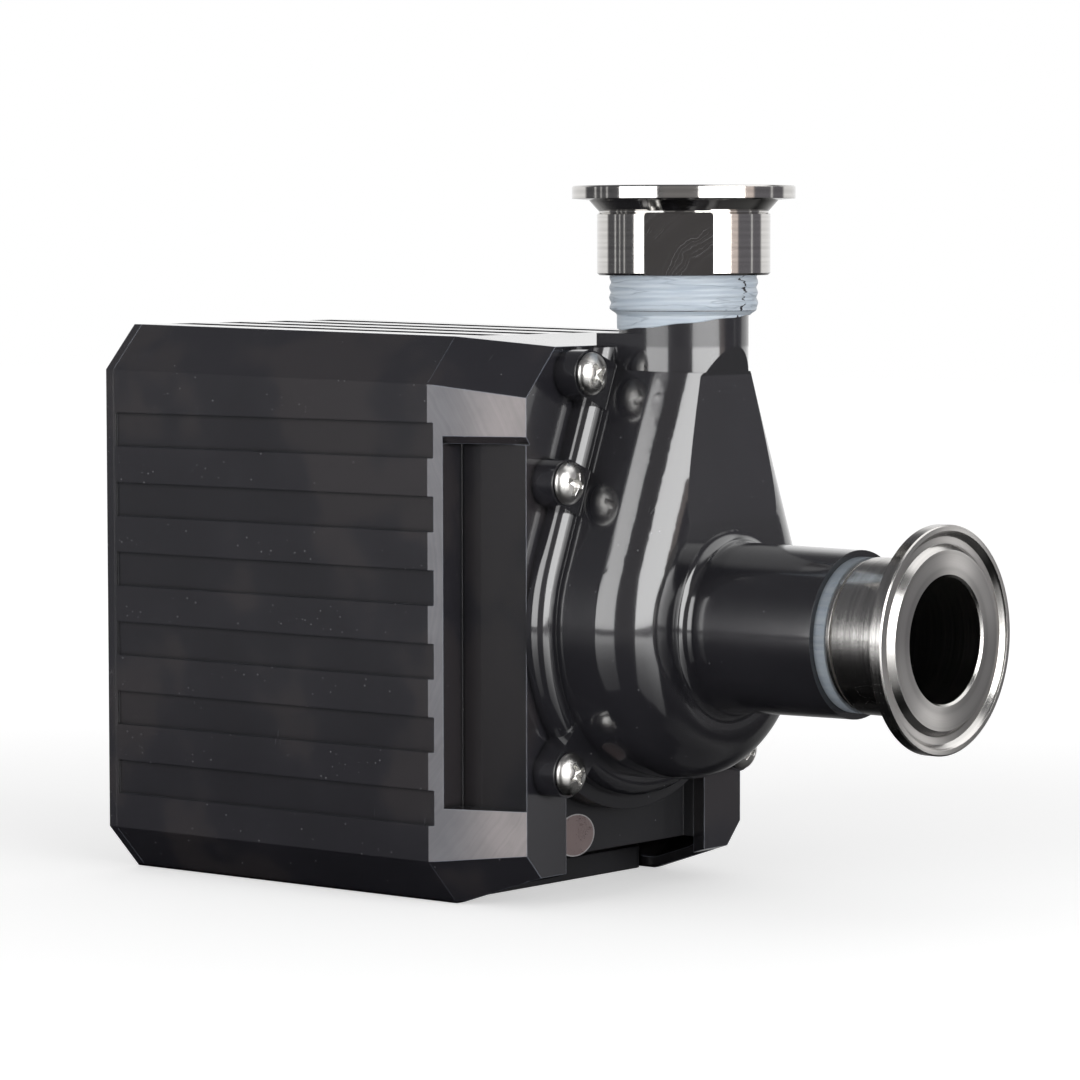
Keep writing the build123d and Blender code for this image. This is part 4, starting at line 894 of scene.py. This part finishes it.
def drive_pump_screws(material):
    """The six screws of the pump head, each with its cross turned its own way."""
    work = bmesh.new()
    for (low, high), turn in zip(solid_boxes("pump_screws", 0.003), screw_turns):
        centre = Vector(((low.x + high.x) / 2, low.y + screw_head_height, (low.z + high.z) / 2))
        draw_screw(work, centre, high.y, turn)
    bmesh.ops.recalc_face_normals(work, faces=work.faces)
    piece = add_mesh("pan_head_screws", work, material)
    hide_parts("pump_screws")


def outlet_tape_radius(angle, height):
    """Radius of the wrapped tape: thread ridges above the step, the plain neck below it."""
    turn = (height - tape_step_height) / tape_pitch - angle / (2 * pi)
    crest = 0.5 + 0.5 * cos(2 * pi * turn)
    threads = tape_thread_radius + tape_ridge * (crest ** 0.8) + 0.00004 * sin(7 * angle + 900 * height)
    neck = tape_neck_radius + 0.00003 * sin(5 * angle + 1500 * height)
    share = min(max((height - tape_step_height + 0.0009) / 0.0016, 0.0), 1.0)
    share = share * share * (3 - 2 * share)
    return neck + (threads - neck) * share


def wrap_outlet_tape():
    """Thread tape wound over the outlet's thread, with its slanting lower edge."""
    top = ferrule_low.z + 0.0003
    around, rows = 240, 90
    work = bmesh.new()
    grid = []
    for row in range(rows + 1):
        ring = []
        for step in range(around):
            angle = 2 * pi * step / around
            side = 0.63 * cos(angle) - 0.777 * sin(angle)
            edge = tape_edge_height + tape_edge_slope * 0.0151 * side + 0.00012 * sin(9 * angle)
            height = edge + (top - edge) * row / rows
            radius = outlet_tape_radius(angle, height)
            if row == 0:
                radius -= 0.0003
            out_from_axis = Vector((radius * cos(angle), radius * sin(angle), height))
            ring.append(work.verts.new(outlet_axis + out_from_axis))
        grid.append(ring)
    for lower, upper in zip(grid, grid[1:]):
        for step in range(around):
            after = (step + 1) % around
            work.faces.new((lower[step], lower[after], upper[after], upper[step]))
    piece = add_mesh("outlet_tape_wrap", work, thread_tape("wrapped outlet tape", 0.74, splits=True))
    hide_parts("outlet_thread_tape")


def place_camera():
    azimuth, elevation, roll = radians(camera_azimuth), radians(camera_elevation), radians(camera_roll)
    back = Vector((sin(azimuth) * cos(elevation), -cos(azimuth) * cos(elevation), sin(elevation)))
    right = Vector((cos(azimuth), sin(azimuth), 0.0))
    up = back.cross(right)
    rolled_right = right * cos(roll) + up * sin(roll)
    rolled_up = up * cos(roll) - right * sin(roll)
    level = Matrix((rolled_right, rolled_up, back)).transposed()
    camera = bpy.data.objects.new("camera", bpy.data.cameras.new("camera"))
    camera.data.lens = camera_lens
    camera.data.sensor_width = 36.0
    camera.data.clip_start = 0.05
    camera.matrix_world = Matrix.Translation(camera_place) @ level.to_4x4()
    scene.collection.objects.link(camera)
    scene.camera = camera


def light_direction(angle):
    return Vector((-cos(radians(angle)), -sin(radians(angle)), 0.0))


def add_lamp(name, angle, width, low, high, radiance, for_gloss):
    """A softbox at a direction. One for gloss is seen only in reflections, the others only light."""
    height = high - low
    lamp = bpy.data.lights.new(name, "AREA")
    lamp.shape = "RECTANGLE"
    lamp.size = width
    lamp.size_y = height
    lamp.energy = radiance * pi * width * height
    holder = bpy.data.objects.new(name, lamp)
    distance = card_distance if for_gloss else lamp_distance
    holder.location = light_direction(angle) * distance + Vector((0, 0, (low + high) / 2))
    holder.rotation_euler = (-light_direction(angle)).to_track_quat("-Z", "Y").to_euler()
    holder.visible_camera = False
    holder.visible_diffuse = not for_gloss
    holder.visible_glossy = for_gloss
    scene.collection.objects.link(holder)


def set_up_lamps():
    """A softbox on each side, and before it a taller card that shows in the gloss."""
    low = lamp_middle_height - lamp_height / 2
    high = lamp_middle_height + lamp_height / 2
    left, right = left_lamp_angle, right_lamp_angle
    add_lamp("left softbox", left, left_lamp_width, low, high, left_lamp_radiance, False)
    add_lamp("right softbox", right, right_lamp_width, low, high, right_lamp_radiance, False)
    add_lamp("left card", left, left_card_width, card_foot, left_card_top, left_card_radiance, True)
    add_lamp("right card", right, right_card_width, card_foot, right_card_top, right_card_radiance, True)


def angle_band(tree, level, angle, half_width, soft=1.0):
    """A soft-edged mask over a sector of directions around the pump."""
    towards = combine_vectors(tree, "DOT_PRODUCT", level, tuple(light_direction(angle)))
    outside = cos(radians(half_width + soft))
    inside = cos(radians(max(half_width - soft, 0.0)))
    return remap(tree, towards, outside, inside)


def light_world():
    """A plain even light. The camera sees white, and glossy surfaces see a white backdrop in a dim room."""
    world = bpy.data.worlds.new("studio")
    scene.world = world
    world.use_nodes = True
    tree = world.node_tree
    background = tree.nodes["Background"]
    path = add_node(tree, "ShaderNodeLightPath")
    looking = add_node(tree, "ShaderNodeTexCoord").outputs["Generated"]
    parts = add_node(tree, "ShaderNodeSeparateXYZ")
    tree.links.new(looking, parts.inputs["Vector"])
    level = combine_vectors(tree, "NORMALIZE", combine_vectors(tree, "MULTIPLY", looking, (1.0, 1.0, 0.0)))
    low = remap(tree, parts.outputs["Z"], 0.35, 0.65, 1.0, 0.0)
    dim = (room_level, room_level, room_level * 1.06, 1.0)
    front = (room_front_level, room_front_level * 0.97, room_front_level * 0.96, 1.0)
    in_front = angle_band(tree, level, room_front_angle, room_front_half_width, 5.0)
    room = blend_colours(tree, in_front, dim, front)
    right_side = (room_right_level, room_right_level * 0.97, room_right_level * 1.06, 1.0)
    on_right = angle_band(tree, level, room_right_angle, room_right_half_width, 4.0)
    room = blend_colours(tree, on_right, room, right_side)
    line_colour = (room_line_level, room_line_level, room_line_level, 1.0)
    at_eye_level = remap(tree, calculate(tree, "ABSOLUTE", parts.outputs["Z"]), 0.12, 0.24, 1.0, 0.0)
    for angle, half_width in room_lines:
        line = calculate(tree, "MULTIPLY", angle_band(tree, level, angle, half_width, 0.4), at_eye_level)
        room = blend_colours(tree, line, room, line_colour)
    warm_edge = angle_band(tree, level, warm_edge_angle, warm_edge_half_width, 1.5)
    room = blend_colours(tree, calculate(tree, "MULTIPLY", warm_edge, at_eye_level), room, warm_edge_colour)
    aloft = light_direction(overhead_angle) * cos(radians(overhead_elevation))
    aloft.z = sin(radians(overhead_elevation))
    towards = combine_vectors(tree, "DOT_PRODUCT", looking, tuple(aloft))
    outside = cos(radians(overhead_half_width + overhead_softness))
    inside = cos(radians(overhead_half_width - overhead_softness))
    overhead = remap(tree, towards, outside, inside)
    room = blend_colours(tree, overhead, room, (overhead_level, overhead_level, overhead_level, 1.0))
    backdrop = angle_band(tree, level, backdrop_angle, backdrop_half_width, 3.0)
    backdrop = calculate(tree, "MULTIPLY", backdrop, low)
    room = blend_colours(tree, backdrop, room, (1.0, 1.0, 1.0, 1.0))
    mirrored = calculate(tree, "MAXIMUM", path.outputs["Is Glossy Ray"], path.outputs["Is Transmission Ray"])
    light = (studio_light, studio_light, studio_light, 1.0)
    seen = blend_colours(tree, mirrored, light, room)
    seen = blend_colours(tree, path.outputs["Is Camera Ray"], seen, (1.0, 1.0, 1.0, 1.0))
    tree.links.new(seen, background.inputs["Color"])
    background.inputs["Strength"].default_value = 1.0


def lay_floor():
    """A pale floor that keeps the pump's shadow and runs out into the white backdrop.

    Glossy surfaces see it as a dim mirror, like the polished table of such a studio.
    """
    work = bmesh.new()
    bmesh.ops.create_grid(work, x_segments=1, y_segments=1, size=floor_size / 2)
    mesh = bpy.data.meshes.new("floor")
    work.to_mesh(mesh)
    work.free()
    floor = bpy.data.objects.new("floor", mesh)
    floor.location.z = -floor_gap
    scene.collection.objects.link(floor)
    material = bpy.data.materials.new("pale floor")
    material.use_nodes = True
    tree = material.node_tree
    tree.nodes.clear()
    matt = add_node(tree, "ShaderNodeBsdfDiffuse")
    matt.inputs["Color"].default_value = (floor_albedo, floor_albedo, floor_albedo, 1.0)
    away = combine_vectors(tree, "LENGTH", object_place(tree))
    lift = remap(tree, away, floor_fade_start, floor_fade_end, floor_lift_near, floor_lift_far)
    path = add_node(tree, "ShaderNodeLightPath")
    glow = add_node(tree, "ShaderNodeEmission")
    feed(tree, calculate(tree, "MULTIPLY", path.outputs["Is Camera Ray"], lift), glow.inputs["Strength"])
    both = add_node(tree, "ShaderNodeAddShader")
    tree.links.new(matt.outputs["BSDF"], both.inputs[0])
    tree.links.new(glow.outputs["Emission"], both.inputs[1])
    # For glossy rays the floor glows faintly as a painted reflection of the room in the table, and the glow
    # fades out near the pump as painted shade.
    table_level = remap(tree, away, table_fade_start, table_fade_end, table_level_near, table_level_far)
    table = add_node(tree, "ShaderNodeEmission")
    feed(tree, table_level, table.inputs["Strength"])
    glass = add_node(tree, "ShaderNodeFresnel")
    glass.inputs["IOR"].default_value = floor_glass_ior
    polish = add_node(tree, "ShaderNodeBsdfAnisotropic")
    tree.links.new(glass.outputs["Fac"], polish.inputs["Color"])
    polish.inputs["Roughness"].default_value = floor_mirror_roughness
    table_top = add_node(tree, "ShaderNodeAddShader")
    tree.links.new(polish.outputs["BSDF"], table_top.inputs[0])
    tree.links.new(table.outputs["Emission"], table_top.inputs[1])
    choice = add_node(tree, "ShaderNodeMixShader")
    tree.links.new(path.outputs["Is Glossy Ray"], choice.inputs["Fac"])
    tree.links.new(both.outputs["Shader"], choice.inputs[1])
    tree.links.new(table_top.outputs["Shader"], choice.inputs[2])
    leave = add_node(tree, "ShaderNodeOutputMaterial")
    tree.links.new(choice.outputs["Shader"], leave.inputs["Surface"])
    mesh.materials.append(material)


screw_steel = cast_metal("screw steel", (0.66, 0.65, 0.63), 0.3)
paint_parts()
drive_pump_screws(screw_steel)
wrap_outlet_tape()
place_camera()
set_up_lamps()
light_world()
lay_floor()
scene.view_settings.view_transform = "Standard"
